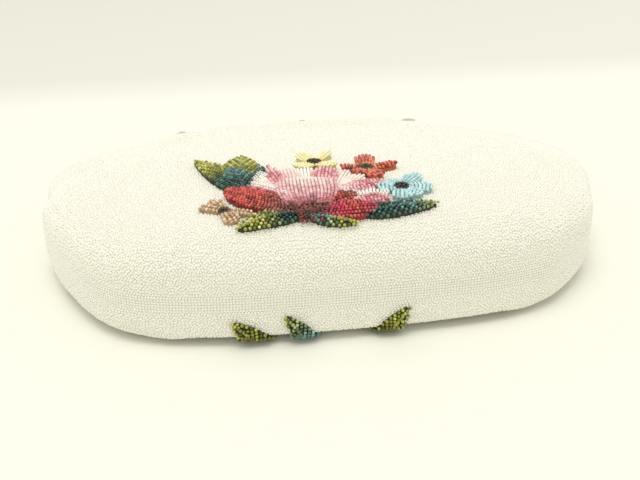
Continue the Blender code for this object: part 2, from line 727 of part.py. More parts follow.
def make_front_half(bag, front_pivot):
    """Beaded front: what is fixed, the fold at the hinge and the yoke that opens with the frame."""
    up = Vector((0, 1, 0))
    fold_low = Vector((0, HINGE_HEIGHT - FOLD_REACH, 0))
    hinge = Vector((0, HINGE_HEIGHT, 0))
    panel = clipped(shell("front_panel", FRONT, 0.0, BEADED_WALL), fold_low, up)
    place("front_panel", panel, "bead_white", bag)
    fold = clipped(shell("front_fold", FRONT, 0.0, BEADED_WALL), fold_low + up * GAP, -up)
    fold = place("front_fold", clipped(fold, hinge, up), "bead_white", bag)
    combine(fold, "DIFFERENCE", frame_envelope("front_fold_space", FRONT, bag))
    notch_for_ears(fold, bag)
    yoke = clipped(shell("front_yoke", FRONT, 0.0, BEADED_WALL), hinge + up * GAP, -up)
    inside = FRAME_HALF_SPAN - FRAME_BAR_HEIGHT / 2 - GAP
    for hand in (LEFT, RIGHT):
        yoke = clipped(yoke, Vector((hand * inside, 0, 0)), Vector((hand, 0, 0)))
    yoke = place("front_yoke", yoke, "bead_white", front_pivot)
    combine(yoke, "DIFFERENCE", frame_envelope("front_yoke_space", FRONT, front_pivot))
    inset = BEADED_WALL + GAP
    for name, thickness, material in inner_layers("front"):
        place(name, clipped(shell(name, FRONT, inset, thickness), fold_low, up), material, bag)
        inset += thickness + GAP


def make_back_half(bag):
    up = Vector((0, 1, 0))
    panel = place("back_panel", shell("back_panel", BACK, 0.0, BEADED_WALL), "bead_white", bag)
    combine(panel, "DIFFERENCE", frame_envelope("back_panel_space", BACK, bag))
    notch_for_ears(panel, bag)
    top = Vector((0, HINGE_HEIGHT - EAR_RADIUS - INNER_MARGIN, 0))
    inset = BEADED_WALL + GAP
    for name, thickness, material in inner_layers("back"):
        place(name, clipped(shell(name, BACK, inset, thickness), top, up), material, bag)
        inset += thickness + GAP
    make_pocket(inset, bag)


def inner_layers(word):
    return ((f"{word}_interlining", INTERLINING, "interlining"), (f"{word}_lining", LINING, "satin"))


def make_pocket(inset, bag):
    """A slip pocket: a patch of satin that lies on the back lining."""
    rings = []
    for row in range(POCKET_ROW_COUNT + 1):
        y = POCKET_BOTTOM + POCKET_HEIGHT * row / POCKET_ROW_COUNT
        low = []
        high = []
        for column in range(POCKET_COLUMN_COUNT + 1):
            x = POCKET_WIDTH * (column / POCKET_COLUMN_COUNT - 0.5)
            z = height(BACK, x, y, edge_share(x, y), inset)
            low.append((x, y, z))
            high.append((x, y, z + LINING))
        rings.append(low + high[::-1])
    lining = shell("pocket_support", BACK, inset - GAP - LINING, LINING)
    place("inner_pocket", seated(loft("inner_pocket", rings), lining, FRONT), "satin", bag)


def facets(mesh):
    """A tree of the mesh's facets, with its corners and the middles of its edges."""
    corners = [vertex.co.copy() for vertex in mesh.vertices]
    middles = [(corners[a] + corners[b]) / 2 for a, b in (edge.vertices for edge in mesh.edges)]
    tree = BVHTree.FromPolygons(corners, [polygon.vertices for polygon in mesh.polygons])
    return tree, corners + middles


def seated(mesh, support, side):
    """The mesh moved out along Z until its facets clear those of its support by the gap."""
    own, own_points = facets(mesh)
    under, under_points = facets(support)
    far = Vector((0, 0, side * BAG_WIDTH))
    short = 0.0
    for point in own_points + under_points:
        level = Vector((point.x, point.y, 0))
        low = own.ray_cast(level - far, far)[0]
        top = under.ray_cast(level + far, -far)[0]
        if low and top:
            short = max(short, GAP - side * (low.z - top.z))
    mesh.transform(Matrix.Translation((0, 0, side * short)))
    return mesh


def draped(name, side, centre, edge, thickness, dome):
    """A flat ornament that follows the beaded face: an edge about a centre, given a crown."""
    def lifted(x, y, lift):
        return (x, y, height(side, x, y, edge_share(x, y)) + side * lift)

    cx, cy = centre
    between = [(cx + (x - cx) * INNER_RING_SHARE, cy + (y - cy) * INNER_RING_SHARE) for x, y in edge]
    rings = [
        [lifted(cx, cy, 0.0)],
        [lifted(x, y, 0.0) for x, y in between],
        [lifted(x, y, 0.0) for x, y in edge],
        [lifted(x, y, thickness) for x, y in edge],
        [lifted(x, y, thickness + dome) for x, y in between],
        [lifted(cx, cy, thickness + dome)],
    ]
    return loft(name, rings)


def flower_edge(centre, radius, petals, turn):
    count = petals * PETAL_POINT_COUNT
    points = []
    for i in range(count):
        angle = 2 * math.pi * i / count
        dip = 1 - abs(math.cos(petals * angle / 2))
        reach = radius * (1 - PETAL_DEPTH_SHARE * dip)
        angle += math.radians(turn)
        points.append((centre[0] + reach * math.cos(angle), centre[1] + reach * math.sin(angle)))
    return points


def leaf_edge(base, tip, width):
    """A pointed oval from base to tip."""
    along = np.subtract(tip, base)
    across = np.array([-along[1], along[0]]) / np.linalg.norm(along) * width / 2
    right = []
    for i in range(LEAF_POINT_COUNT):
        share = i / LEAF_POINT_COUNT
        right.append((share, math.sin(math.pi * share)))
    left = [(1 - share, -swell) for share, swell in right]
    return [tuple(base + along * share + across * swell) for share, swell in right + left]


def on_spray(centre, shares):
    return (centre[0] + shares[0] * SPRAY_WIDTH, centre[1] + shares[1] * SPRAY_HEIGHT)


def make_spray(side, spray_centre, flowers, leaves, bag):
    face = shell("spray_support", side, 0.0, BEADED_WALL)
    for name, shares, radius, petals, turn, colour in flowers:
        centre = on_spray(spray_centre, shares)
        edge = flower_edge(centre, radius * SPRAY_WIDTH, petals, turn)
        dome = FLOWER_DOME if side == FRONT else 0.0
        flower = seated(draped(name, side, centre, edge, PETAL_THICKNESS, dome), face, side)
        place(name, flower, colour, bag)
    for name, base, tip, width, colour in leaves:
        base = on_spray(spray_centre, base)
        tip = on_spray(spray_centre, tip)
        centre = ((base[0] + tip[0]) / 2, (base[1] + tip[1]) / 2)
        dome = LEAF_DOME if side == FRONT else 0.0
        edge = leaf_edge(base, tip, width * SPRAY_WIDTH)
        leaf = seated(draped(name, side, centre, edge, LEAF_THICKNESS, dome), face, side)
        place(name, leaf, colour, bag)


def make_rose_heart(petals, bag):
    """The raised middle of the front rose, on its ring of petals."""
    centre = on_spray(SPRAY_CENTRE, FRONT_FLOWER_SHARES[0][1])
    edge = flower_edge(centre, ROSE_HEART_SHARE * SPRAY_WIDTH, HEART_PETAL_COUNT, 0)
    heart = draped("rose_heart", FRONT, centre, edge, PETAL_THICKNESS, FLOWER_DOME)
    place("rose_heart", seated(heart, petals, FRONT), "rose_red", bag)


def centre_on_origin(pivots):
    """Moves the bag so that the origin is under the middle of its box, where it rests."""
    bpy.context.view_layer.update()
    graph = bpy.context.evaluated_depsgraph_get()
    corners = []
    for obj in bpy.context.scene.objects:
        if obj.type != "MESH" or obj.hide_render:
            continue
        evaluated = obj.evaluated_get(graph)
        corners += [evaluated.matrix_world @ Vector(corner) for corner in evaluated.bound_box]
    low = min(corner.y for corner in corners)
    high = max(corner.y for corner in corners)
    lowest = min(corner.z for corner in corners)
    for empty in pivots:
        empty.location -= Vector((0, (low + high) / 2, lowest))
        print(empty.name, "at", tuple(round(value, 6) for value in empty.location))


def main():
    clear_scene()
    bag = pivot("bag", (0.0, 0.0, 0.0))
    front_pivot = pivot("frame_hinge", (0.0, HINGE_HEIGHT, SEAM_HEIGHT))
    handle_pivot = pivot("handle_hinge", (0.0, LUG_HEIGHT, LUG_Z))
    make_back_half(bag)
    make_front_half(bag, front_pivot)
    make_frame_half(FRONT, front_pivot)
    make_frame_half(BACK, bag)
    make_knob(FRONT, front_pivot)
    make_knob(BACK, bag)
    make_hinge_pins(bag)
    make_handle(handle_pivot)
    make_handle_pins(bag)
    make_spray(FRONT, SPRAY_CENTRE, FRONT_FLOWER_SHARES, FRONT_LEAF_SHARES, bag)
    make_rose_heart(bpy.data.objects["rose_petals"].data, bag)
    make_spray(BACK, BACK_SPRAY_CENTRE, BACK_FLOWER_SHARES, BACK_LEAF_SHARES, bag)
    centre_on_origin((bag, front_pivot, handle_pivot))


main()
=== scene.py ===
"""A beaded evening handbag that lies on its back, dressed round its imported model.

Glass seed beads cover both halves of the bag over a woven ground cloth. Strung rows of
larger coloured beads make a rose, small flowers and leaves on each face. The metal frame and
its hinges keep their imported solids. The kiss lock's two balls are turned bodies, and the
handle is wound with beads.
"""

import logging
import math
from dataclasses import dataclass, field
from enum import Enum

import bpy
import numpy as np
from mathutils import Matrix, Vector


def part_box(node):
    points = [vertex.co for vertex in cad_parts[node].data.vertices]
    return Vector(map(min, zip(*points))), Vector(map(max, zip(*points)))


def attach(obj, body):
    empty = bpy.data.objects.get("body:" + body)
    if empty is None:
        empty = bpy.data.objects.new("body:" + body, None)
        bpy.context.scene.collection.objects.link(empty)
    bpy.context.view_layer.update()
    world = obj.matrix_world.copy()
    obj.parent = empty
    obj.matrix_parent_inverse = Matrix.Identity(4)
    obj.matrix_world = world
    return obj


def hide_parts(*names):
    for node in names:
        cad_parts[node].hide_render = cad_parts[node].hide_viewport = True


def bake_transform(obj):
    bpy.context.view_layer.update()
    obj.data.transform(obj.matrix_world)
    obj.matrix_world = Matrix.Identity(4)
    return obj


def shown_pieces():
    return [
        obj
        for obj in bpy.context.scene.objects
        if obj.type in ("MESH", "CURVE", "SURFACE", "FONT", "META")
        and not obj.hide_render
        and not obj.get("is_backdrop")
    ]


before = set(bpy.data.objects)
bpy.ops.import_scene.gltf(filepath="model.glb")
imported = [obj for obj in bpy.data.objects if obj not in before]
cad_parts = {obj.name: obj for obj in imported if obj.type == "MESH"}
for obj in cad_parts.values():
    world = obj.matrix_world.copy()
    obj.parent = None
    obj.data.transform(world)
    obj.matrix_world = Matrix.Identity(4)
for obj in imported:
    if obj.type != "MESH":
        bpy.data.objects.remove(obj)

Colour = tuple[float, float, float]
Place = tuple[float, float]

LOG = logging.getLogger("handbag")
MM = 0.001


class Side(Enum):
    """The two faces of the bag. The value is the sign of its outward Z."""

    FRONT = 1
    BACK = -1


class Mark(str, Enum):
    """Names of the attributes that the beads, strands and surfaces carry."""

    COLOUR = "bead_colour"
    TINT = "bead_tint"
    HOLE = "bead_hole"
    OUTWARD = "outward"
    ROOM = "room"


def eased(share: np.ndarray) -> np.ndarray:
    """A smooth step from 0 to 1."""
    share = np.clip(share, 0.0, 1.0)
    return share * share * (3 - 2 * share)


def bezier(a: Place, b: Place, c: Place, d: Place, count: int) -> np.ndarray:
    """Points of a cubic curve from a to d, with b and c as its handles.

    Args:
        a: Its start.
        b: The handle of its start.
        c: The handle of its end.
        d: Its end.
        count: How many points it gets.

    Returns:
        Rows of x and y.
    """
    t = np.linspace(0.0, 1.0, count)[:, None]
    a, b, c, d = (np.array(p, float) for p in (a, b, c, d))
    return a * (1 - t) ** 3 + 3 * b * t * (1 - t) ** 2 + 3 * c * t**2 * (1 - t) + d * t**3


def respaced(path: np.ndarray, count: int) -> np.ndarray:
    """The path with its points evenly spaced along it.

    Args:
        path: Rows of coordinates.
        count: How many points it gets.

    Returns:
        The new rows.
    """
    run = run_along(path)
    at = np.linspace(0.0, run[-1], count)
    return np.column_stack([np.interp(at, run, path[:, i]) for i in range(path.shape[1])])


def run_along(path: np.ndarray) -> np.ndarray:
    """The distance of each point along its path."""
    return np.concatenate([[0.0], np.cumsum(np.linalg.norm(np.diff(path, axis=0), axis=1))])


def right_of(path: np.ndarray) -> np.ndarray:
    """Unit normals to the right of a flat path.

    Args:
        path: Rows of x and y.

    Returns:
        A normal for each point.
    """
    along = np.gradient(path, axis=0)
    across = np.column_stack([along[:, 1], -along[:, 0]])
    return across / np.linalg.norm(across, axis=1)[:, None]


def unit(vectors: np.ndarray) -> np.ndarray:
    """The vectors at length one."""
    return vectors / np.maximum(np.linalg.norm(vectors, axis=-1, keepdims=True), 1e-12)


@dataclass
class BagForm:
    """The bag's outline and depths, in metres from the middle of its base edge."""

    base_y: float = 0.0
    width: float = 0.265
    height: float = 0.178
    widest_share: float = 0.562
    base_flat: float = 0.070
    base_crown: float = 0.0035
    seam: float = 0.021
    front_full: float = 0.0325
    front_top: float = 0.0072
    front_taper: float = 1.5
    front_power: float = 4.6
    back_top: float = 0.0085
    back_power: float = 6.0
    back_taper: float = 0.112
    rest_press: float = 0.0021
    hollow: float = 0.0056
    hollow_half_width: float = 0.062
    hollow_top: float = 0.098
    hollow_fade: float = 0.026
    frame_half_span: float = 0.057
    bar_height: float = 0.0065
    arm_bottom: float = 0.1642
    back_rounding: float = 0.045
    back_fullness: float = 0.12
    back_crowding: float = 2.6
    base_fullness: float = 1.5
    corner_softness: float = 0.14
    rest_gap: float = 0.0003
    hollow_foot: float = 0.018
    foot_share: float = 0.82
    tuck_height: float = 0.0034
    tuck_slope: float = 4.0
    tuck_softness: float = 0.0005
    gather: float = 0.0024
    gather_height: float = 0.166
    gather_reach: float = 0.010
    gather_half_width: float = 0.058
    gather_fade: float = 0.020
    wave: float = 0.0006
    wave_share: float = 0.6
    cross_wave: tuple[Place, Place] = ((71, 0.7), (58, 1.9))
    slant_wave: tuple[float, float, float] = (38, 47, 2.3)
    roll: float = 0.0012
    roll_height: float = 0.0135
    roll_reach: float = 0.008
    roll_half_width: float = 0.08
    soft_corner: Place = (0.08, 0.06)
    soft_corner_fade: float = 0.05
    ear_middle: Place = (0.0575, 0.162)
    ear_half: tuple[float, float, float] = (0.0046, 0.0062, 0.0052)
    # Shares of what they span, for the handles of the outline's curves.
    base_curve: tuple[float, float, float] = (0.4, 0.7, 0.3)
    corner_curve: tuple[float, float, float] = (0.61, 1.5, 0.56)
    shoulder_curve: tuple[float, float, float] = (0.42, 0.47, 0.22)
    bar_curve: Place = (0.62, 0.80)
    # Soft swells of the front: x, y, reach and height.
    swells: tuple[tuple[float, float, float, float], ...] = (
        (-0.118, 0.131, 0.018, 0.0036),
        (-0.066, 0.1495, 0.014, 0.0020),
        (-0.006, 0.150, 0.016, 0.0007),
        (-0.067, 0.153, 0.013, 0.0024),
        (0.062, 0.151, 0.014, 0.0021),
        (0.112, 0.134, 0.024, -0.0012),
        (0.122, 0.104, 0.018, -0.0010),
        (-0.124, 0.100, 0.016, -0.0008),
        (-0.0655, 0.165, 0.0068, -0.0064),
        (0.0655, 0.165, 0.0068, -0.0054),
    )
    # Where the soft body gives: x, y, reach, and how far right and up.
    pulls: tuple[tuple[float, float, float, float, float], ...] = (
        (0.128, 0.128, 0.018, -0.0026, 0.0),
        (0.128, 0.092, 0.018, 0.0008, 0.0),
        (0.122, 0.054, 0.013, -0.0014, 0.0),
        (-0.120, 0.038, 0.013, 0.0008, 0.0),
        (-0.107, 0.008, 0.014, -0.0004, -0.0016),
        (-0.080, 0.002, 0.016, 0.0, 0.0010),
        (-0.131, 0.092, 0.016, 0.0019, 0.0),
        (-0.133, 0.074, 0.008, -0.0014, 0.0),
        (-0.124, 0.114, 0.012, -0.0018, 0.0),
        (0.108, 0.012, 0.018, 0.0, 0.0018),
        (0.078, 0.006, 0.012, 0.0, 0.0011),
    )
    base_pull: float = 0.0013
    base_pull_height: float = 0.03
    base_pull_half_width: float = 0.085
    base_pull_fade: float = 0.025
    edge: np.ndarray = field(init=False)
    bar_line: np.ndarray = field(init=False)

    def __post_init__(self) -> None:
        """Works out the edge and the frame's centre line once."""
        self.bar_line = self._frame_line(200)
        self.edge = self._outline(2400)
        spokes = self.edge - self.middle
        angles = np.arctan2(spokes[:, 1], spokes[:, 0])
        order = np.argsort(angles)
        self._angles = angles[order]
        self._reach = np.hypot(spokes[:, 0], spokes[:, 1])[order]

    @property
    def middle(self) -> np.ndarray:
        """The point that the rings of the surface are drawn round."""
        return np.array([0.0, self.height / 2])

    def _frame_line(self, count: int) -> np.ndarray:
        """The middle of the frame's bar, from its right foot over the top to the left one.

        Args:
            count: Points in each half.

        Returns:
            Rows of x and y.
        """
        rise = self.height - self.bar_height / 2 - self.arm_bottom
        span = self.frame_half_span
        upright, level = self.bar_curve
        half = bezier(
            (span, self.arm_bottom),
            (span, self.arm_bottom + upright * rise),
            (span * level, self.arm_bottom + rise),
            (0.0, self.arm_bottom + rise),
            count,
        )
        left = half[-2::-1] * (-1, 1)
        return np.vstack([half, left])

    def _outline(self, count: int) -> np.ndarray:
        """The edge once round, evenly spaced, from the middle of the base by the right side.

        Args:
            count: How many points it gets.

        Returns:
            Rows of x and y.
        """
        half, flat, crown = self.width / 2, self.base_flat, self.base_crown
        widest = self.height * self.widest_share
        near, far, lift = self.base_curve
        base = bezier((0, 0), (flat * near, 0), (flat * far, crown * lift), (flat, crown), 120)
        out, steep, drop = self.corner_curve
        reach = out * (half - flat)
        corner = bezier(
            (flat, crown),
            (flat + reach, crown + reach * steep * crown / flat),
            (half, widest - drop * (widest - crown)),
            (half, widest),
            200,
        )
        top = (self.bar_line + right_of(self.bar_line) * self.bar_height / 2)[:200]
        end_x, end_y = top[0]
        out, climb, drop = self.shoulder_curve
        out = out * (half - end_x)
        shoulder = bezier(
            (half, widest),
            (half, widest + climb * (end_y - widest)),
            (end_x + out, end_y - drop * out),
            (end_x, end_y),
            200,
        )
        right = np.vstack([base[:-1], corner[:-1], shoulder[:-1], top])
        right[-1, 0] = 0.0
        loop = np.vstack([right, right[-2::-1] * (-1, 1)])
        return respaced(loop, count + 1)[:-1]

    def share(self, x: np.ndarray, y: np.ndarray) -> np.ndarray:
        """How far points lie from the middle towards the edge, from 0 to 1.

        Args:
            x: Places across.
            y: Places up the bag.

        Returns:
            A share for each point.
        """
        rise = y - self.middle[1]
        reach = np.interp(np.arctan2(rise, x), self._angles, self._reach, period=2 * math.pi)
        return np.minimum(np.hypot(x, rise) / reach, 1.0)

    def bar_distance(self, x: np.ndarray, y: np.ndarray) -> np.ndarray:
        """The distance from the middle of the frame's bar.

        Args:
            x: Places across.
            y: Places up the bag.

        Returns:
            A distance for each point.
        """
        line = self.bar_line[::4]
        gaps = np.hypot(x[..., None] - line[:, 0], y[..., None] - line[:, 1])
        return gaps.min(axis=-1)

    def height_of(self, side: Side, x: np.ndarray, y: np.ndarray, share: np.ndarray) -> np.ndarray:
        """Z of the fabric's outside.

        Args:
            side: The face of the bag.
            x: Places across.
            y: Places up the bag.
            share: How far the places lie from the middle towards the edge.

        Returns:
            The height above the surface that the bag lies on.
        """
        if side is Side.FRONT:
            taper = 1 - np.clip(y / self.height, 0, 1) ** self.front_taper
            depth = self.front_top + (self.front_full - self.front_top) * taper
            depth = depth + self._padding(x, y)
            out, up = self.soft_corner
            corner = eased((np.abs(x) - out) / self.soft_corner_fade)
            corner = corner * eased((y - up) / self.soft_corner_fade)
            power = self.front_power * (1 - self.corner_softness * corner)
            swell = np.maximum(1 - share**power, 0) ** (1 / power)
            rise = self._tucked(x, y, swell * depth + self._gather(x, y))
            return self.seam + rise
        taper = eased((y - self.back_taper) / (self.height - self.back_taper))
        fullest = self.seam + self.rest_press
        depth = fullest - self._hollow(x, y) - (fullest - self.back_top) * taper
        wide = 1 - eased((np.abs(x) - self.hollow_half_width) / self.hollow_fade)
        full = self.back_fullness + self.base_fullness * wide
        power = self.back_power * (1 + full * (1 - eased(y / self.back_rounding)))
        swell = np.maximum(1 - share**power, 0) ** (1 / power)
        return np.maximum(self.seam - self._tucked(x, y, swell * depth), self.rest_gap)

    def _tucked(self, x: np.ndarray, y: np.ndarray, rise: np.ndarray) -> np.ndarray:
        """The fabric's height over the seam, drawn in where it enters the frame's channel.

        Args:
            x: Places across.
            y: Places up the bag.
            rise: Its height before that.

        Returns:
            A height for each point.
        """
        inner = self.bar_distance(x, y) - self.bar_height / 2
        limit = self.tuck_height + self.tuck_slope * np.maximum(inner, 0.0)
        soft = self.tuck_softness
        return np.maximum(-soft * np.logaddexp(-rise / soft, -limit / soft), 0.0)

    def _hollow(self, x: np.ndarray, y: np.ndarray) -> np.ndarray:
        """How far the back is pushed up by the flowers and leaves that it rests on.

        Args:
            x: Places across.
            y: Places up the bag.

        Returns:
            A height for each point.
        """
        wide = 1 - eased((np.abs(x) - self.hollow_half_width) / self.hollow_fade)
        wide = wide * (1 - eased((y - self.hollow_top) / self.hollow_fade))
        low = self.foot_share + (1 - self.foot_share) * eased(y / self.hollow_foot)
        return self.hollow * wide * low

    def _padding(self, x: np.ndarray, y: np.ndarray) -> np.ndarray:
        """Soft unevenness of the padded front, with a low roll above the base.

        Args:
            x: Places across.
            y: Places up the bag.

        Returns:
            A height for each point.
        """
        (fast_x, shift_x), (fast_y, shift_y) = self.cross_wave
        wave = self.wave * self.wave_share
        total = wave * np.sin(x * fast_x + shift_x) * np.sin(y * fast_y + shift_y)
        fast_x, fast_y, shift = self.slant_wave
        total = total + wave * np.sin(x * fast_x - y * fast_y + shift)
        for at_x, at_y, reach, lift in self.swells:
            total = total + lift * np.exp(-(((x - at_x) ** 2 + (y - at_y) ** 2) / reach**2))
        roll = np.exp(-(((y - self.roll_height) / self.roll_reach) ** 2))
        return total + self.roll * (roll * np.exp(-((x / self.roll_half_width) ** 4)))

    def _gather(self, x: np.ndarray, y: np.ndarray) -> np.ndarray:
        """The fabric that puffs up where it is gathered below the frame.

        Args:
            x: Places across.
            y: Places up the bag.

        Returns:
            A height for each point.
        """
        along = np.exp(-(((y - self.gather_height) / self.gather_reach) ** 2))
        across = 1 - eased((np.abs(x) - self.gather_half_width) / self.gather_fade)
        return self.gather * along * across

    def ring_shares(self, side: Side, count: int) -> np.ndarray:
        """Shares whose rings are evenly spaced along the surface, from the middle out.

        Args:
            side: The face of the bag.
            count: The most rings.

        Returns:
            The shares, which end just under 1.
        """
        share = 1 - np.linspace(1, 0, 4000) ** 4
        power = self.front_power if side is Side.FRONT else self.back_power
        steep = power * (self.back_crowding if side is Side.BACK else 1.0)
        half = count // 2
        depth, reach = 0.025, 0.105
        found = []
        for exponent, lead, number in ((power, 0.4, count - half), (steep, 1.0, half)):
            rise = np.maximum(1 - share**exponent, 0) ** (1 / exponent) * depth
            run = run_along(np.column_stack([share * reach, rise]))
            places = 1 - (1 - (np.arange(number) + lead) / number) ** 1.5
            found.append(np.interp(places * run[-1], run, share))
        return np.unique(np.minimum(np.concatenate(found), 1 - 1e-13))

    def rings(self, side: Side, around: int, count: int, inset: float) -> np.ndarray:
        """Rings of one face's surface in the bag's own frame.

        Args:
            side: The face of the bag.
            around: Points in each ring.
            count: The most rings from the middle to the edge.
            inset: How far the surface lies inside the fabric's outside.

        Returns:
            An array of rings of around points, the last one on the seam.
        """
        spokes = self.edge[:: len(self.edge) // around][:around] - self.middle
        wall = max(3, count // 12)
        shares = self.ring_shares(side, count - wall)
        flat = self.middle + spokes[None] * shares[:, None, None]
        share = np.broadcast_to(shares[:, None], flat.shape[:2])
        z = self.height_of(side, flat[..., 0], flat[..., 1], share)
        points = np.dstack([flat, z])
        rim = np.column_stack([self.middle + spokes, np.full(around, self.seam)])
        climb = np.linspace(0, 1, wall + 1)[1:, None, None]
        points = np.concatenate([points, points[-1] + (rim - points[-1]) * climb])
        return points - self.ring_normals(points, side) * inset

    @staticmethod
    def ring_normals(points: np.ndarray, side: Side) -> np.ndarray:
        """Outward normals of a set of rings.

        Args:
            points: Rings of points.
            side: The face of the bag.

        Returns:
            A unit vector for each point.
        """
        around = np.roll(points, -1, axis=1) - np.roll(points, 1, axis=1)
        out = np.gradient(points, axis=0)
        normals = unit(np.cross(out, around)) * side.value
        normals[-1] = unit(normals[-1] * (1, 1, 0) + 1e-9)
        return normals

    @staticmethod
    def to_seam(rings: np.ndarray) -> np.ndarray:
        """The distance of each point to the seam, along the surface."""
        run = np.linalg.norm(np.diff(rings, axis=0), axis=2)
        return np.vstack([run[::-1].cumsum(axis=0)[::-1], np.zeros((1, rings.shape[1]))])

    def ear_gap(self, points: np.ndarray, axes: int = 3) -> np.ndarray:
        """How far points lie outside the box round the nearer hinge ear.

        Args:
            points: Rows of points.
            axes: How many of the axes count.

        Returns:
            A gap for each point, below 0 inside the box.
        """
        x, y, z = points.T
        off = (np.abs(x) - self.ear_middle[0], y - self.ear_middle[1], z - self.seam)
        gaps = [np.abs(d) - half for d, half in zip(off, self.ear_half)]
        return np.maximum.reduce(gaps[:axes])

    def spot(
        self, side: Side, flat: np.ndarray, lift: np.ndarray | float
    ) -> tuple[np.ndarray, np.ndarray]:
        """Points over the surface and the directions they stand in.

        Args:
            side: The face of the bag.
            flat: Rows of x and y.
            lift: The height over the fabric's outside.

        Returns:
            The points and the outward unit vectors, both in the bag's own frame.
        """
        step = 0.0004

        def z(dx: float, dy: float) -> np.ndarray:
            """The surface's height beside each point."""
            x, y = flat[:, 0] + dx, flat[:, 1] + dy
            return self.height_of(side, x, y, self.share(x, y))

        slope_x = (z(step, 0) - z(-step, 0)) / (2 * step)
        slope_y = (z(0, step) - z(0, -step)) / (2 * step)
        outward = unit(np.column_stack([-slope_x, -slope_y, np.ones(len(flat))])) * side.value
        base = np.column_stack([flat, z(0, 0)])
        return base + outward * np.reshape(lift, (-1, 1)), outward

    def wrapped(self, flat: np.ndarray, lift: np.ndarray | float) -> tuple[np.ndarray, np.ndarray]:
        """Points over the back where it turns up to the seam at the base.

        Args:
            flat: Rows of x and the distance from the seam, down the side and under the bag.
            lift: The height over the fabric's outside.

        Returns:
            The points and the outward unit vectors, both in the bag's own frame.
        """
        samples, climb, step = 400, 0.060, 0.0006
        x = flat[:, :1]
        right = self.edge[: len(self.edge) // 4].T
        foot = np.where(x < 0, np.interp(-x, *right), np.interp(x, *right))
        y = foot + climb * np.linspace(0, 1, samples)[None] ** 3
        across = np.broadcast_to(x, y.shape)
        z = self.height_of(Side.BACK, across, y, self.share(across, y))
        z[:, 0] = self.seam
        run = np.hypot(np.diff(y, axis=1), np.diff(z, axis=1)).cumsum(axis=1)
        run = np.hstack([np.zeros((len(x), 1)), run])
        points, outward = np.zeros((len(x), 3)), np.zeros((len(x), 3))
        steps = np.arange(samples)
        for i, at in enumerate(flat[:, 1]):
            ends = np.interp((at - step, at + step), run[i], steps)
            y_ends, z_ends = np.interp(ends, steps, y[i]), np.interp(ends, steps, z[i])
            points[i] = (x[i, 0], np.interp(at, run[i], y[i]), np.interp(at, run[i], z[i]))
            outward[i] = (0.0, -(z_ends[0] - z_ends[1]), -(y_ends[1] - y_ends[0]))
        outward = unit(outward)
        return points + outward * np.reshape(lift, (-1, 1)), outward

    def placed(self, points: np.ndarray) -> np.ndarray:
        """Points moved from the bag's own frame to the shared one.

        The soft body gives a little on the way, differently at each corner.

        Args:
            points: Rows or rings of points.

        Returns:
            The moved points.
        """
        moved = points + (0.0, self.base_y, 0.0)
        x, y = points[..., 0], points[..., 1]
        for at_x, at_y, reach, right, up in self.pulls:
            near = np.exp(-(((x - at_x) ** 2 + (y - at_y) ** 2) / reach**2))
            moved[..., 0] += right * near
            moved[..., 1] += up * near
        beyond = (np.abs(x) - self.base_pull_half_width) / self.base_pull_fade
        low = np.exp(-((y / self.base_pull_height) ** 2)) * (1 - eased(beyond))
        moved[..., 1] -= self.base_pull * low
        return moved


@dataclass
class Strand:
    """A thread that beads are strung on."""

    points: np.ndarray
    outward: np.ndarray
    colours: np.ndarray


def linked(name: str, mesh: bpy.types.Mesh) -> bpy.types.Object:
    """A new object of the scene that shows the mesh.

    Args:
        name: The object's name.
        mesh: What it shows.

    Returns:
        The object.
    """
    made = bpy.data.objects.new(name, mesh)
    bpy.context.scene.collection.objects.link(made)
    return made


def ring_body(name: str, rings: list[np.ndarray]) -> bpy.types.Mesh:
    """A closed body lofted through rings.

    Args:
        name: The mesh's name.
        rings: Loops of points. The first and last may be single points, or are capped.

    Returns:
        The mesh, with its faces outwards.
    """
    points, faces, starts = [], [], []
    for ring in rings:
        starts.append(len(points))
        points.extend(map(tuple, np.atleast_2d(ring)))
    for i in range(len(rings) - 1):
        a, b = starts[i], starts[i + 1]
        m, n = len(np.atleast_2d(rings[i])), len(np.atleast_2d(rings[i + 1]))
        count = max(m, n)
        for j in range(count):
            k = (j + 1) % count
            corners = [a + j % m, a + k % m, b + k % n, b + j % n]
            face = [c for p, c in enumerate(corners) if c not in corners[:p]]
            faces.append(face)
    for ring, start, turn in ((rings[0], starts[0], -1), (rings[-1], starts[-1], 1)):
        if len(np.atleast_2d(ring)) > 2:
            faces.append([start + j for j in range(len(ring))][::turn])
    mesh = bpy.data.meshes.new(name)
    mesh.from_pydata(points, [], faces)
    if signed_volume(mesh) < 0:
        mesh.flip_normals()
    mesh.update()
    mesh.shade_smooth()
    return mesh


def shell(
    name: str, form: BagForm, side: Side, counts: tuple[int, int], insets: Place
) -> bpy.types.Object:
    """A closed thin shell between two surfaces inside the fabric.

    Args:
        name: The object's name.
        form: The bag's form.
        side: The face of the bag.
        counts: Points in each ring, and the most rings.
        insets: How far inside the outer and the inner surface lie.

    Returns:
        The shell.
    """
    layers = [form.placed(form.rings(side, *counts, inset)) for inset in insets]
    outer, inner = ([layer[0].mean(axis=0), *layer] for layer in layers)
    return linked(name, ring_body(name, outer + inner[::-1]))


def signed_volume(mesh: bpy.types.Mesh) -> float:
    """The volume that the mesh's faces enclose, negative where they point inwards.

    Args:
        mesh: A closed mesh.

    Returns:
        The volume in cubic metres.
    """
    mesh.calc_loop_triangles()
    co = np.zeros(len(mesh.vertices) * 3)
    mesh.vertices.foreach_get("co", co)
    corners = np.zeros(len(mesh.loop_triangles) * 3, int)
    mesh.loop_triangles.foreach_get("vertices", corners)
    a, b, c = co.reshape(-1, 3)[corners.reshape(-1, 3)].transpose(1, 0, 2)
    return float(np.einsum("ij,ij->i", a, np.cross(b, c)).sum() / 6)


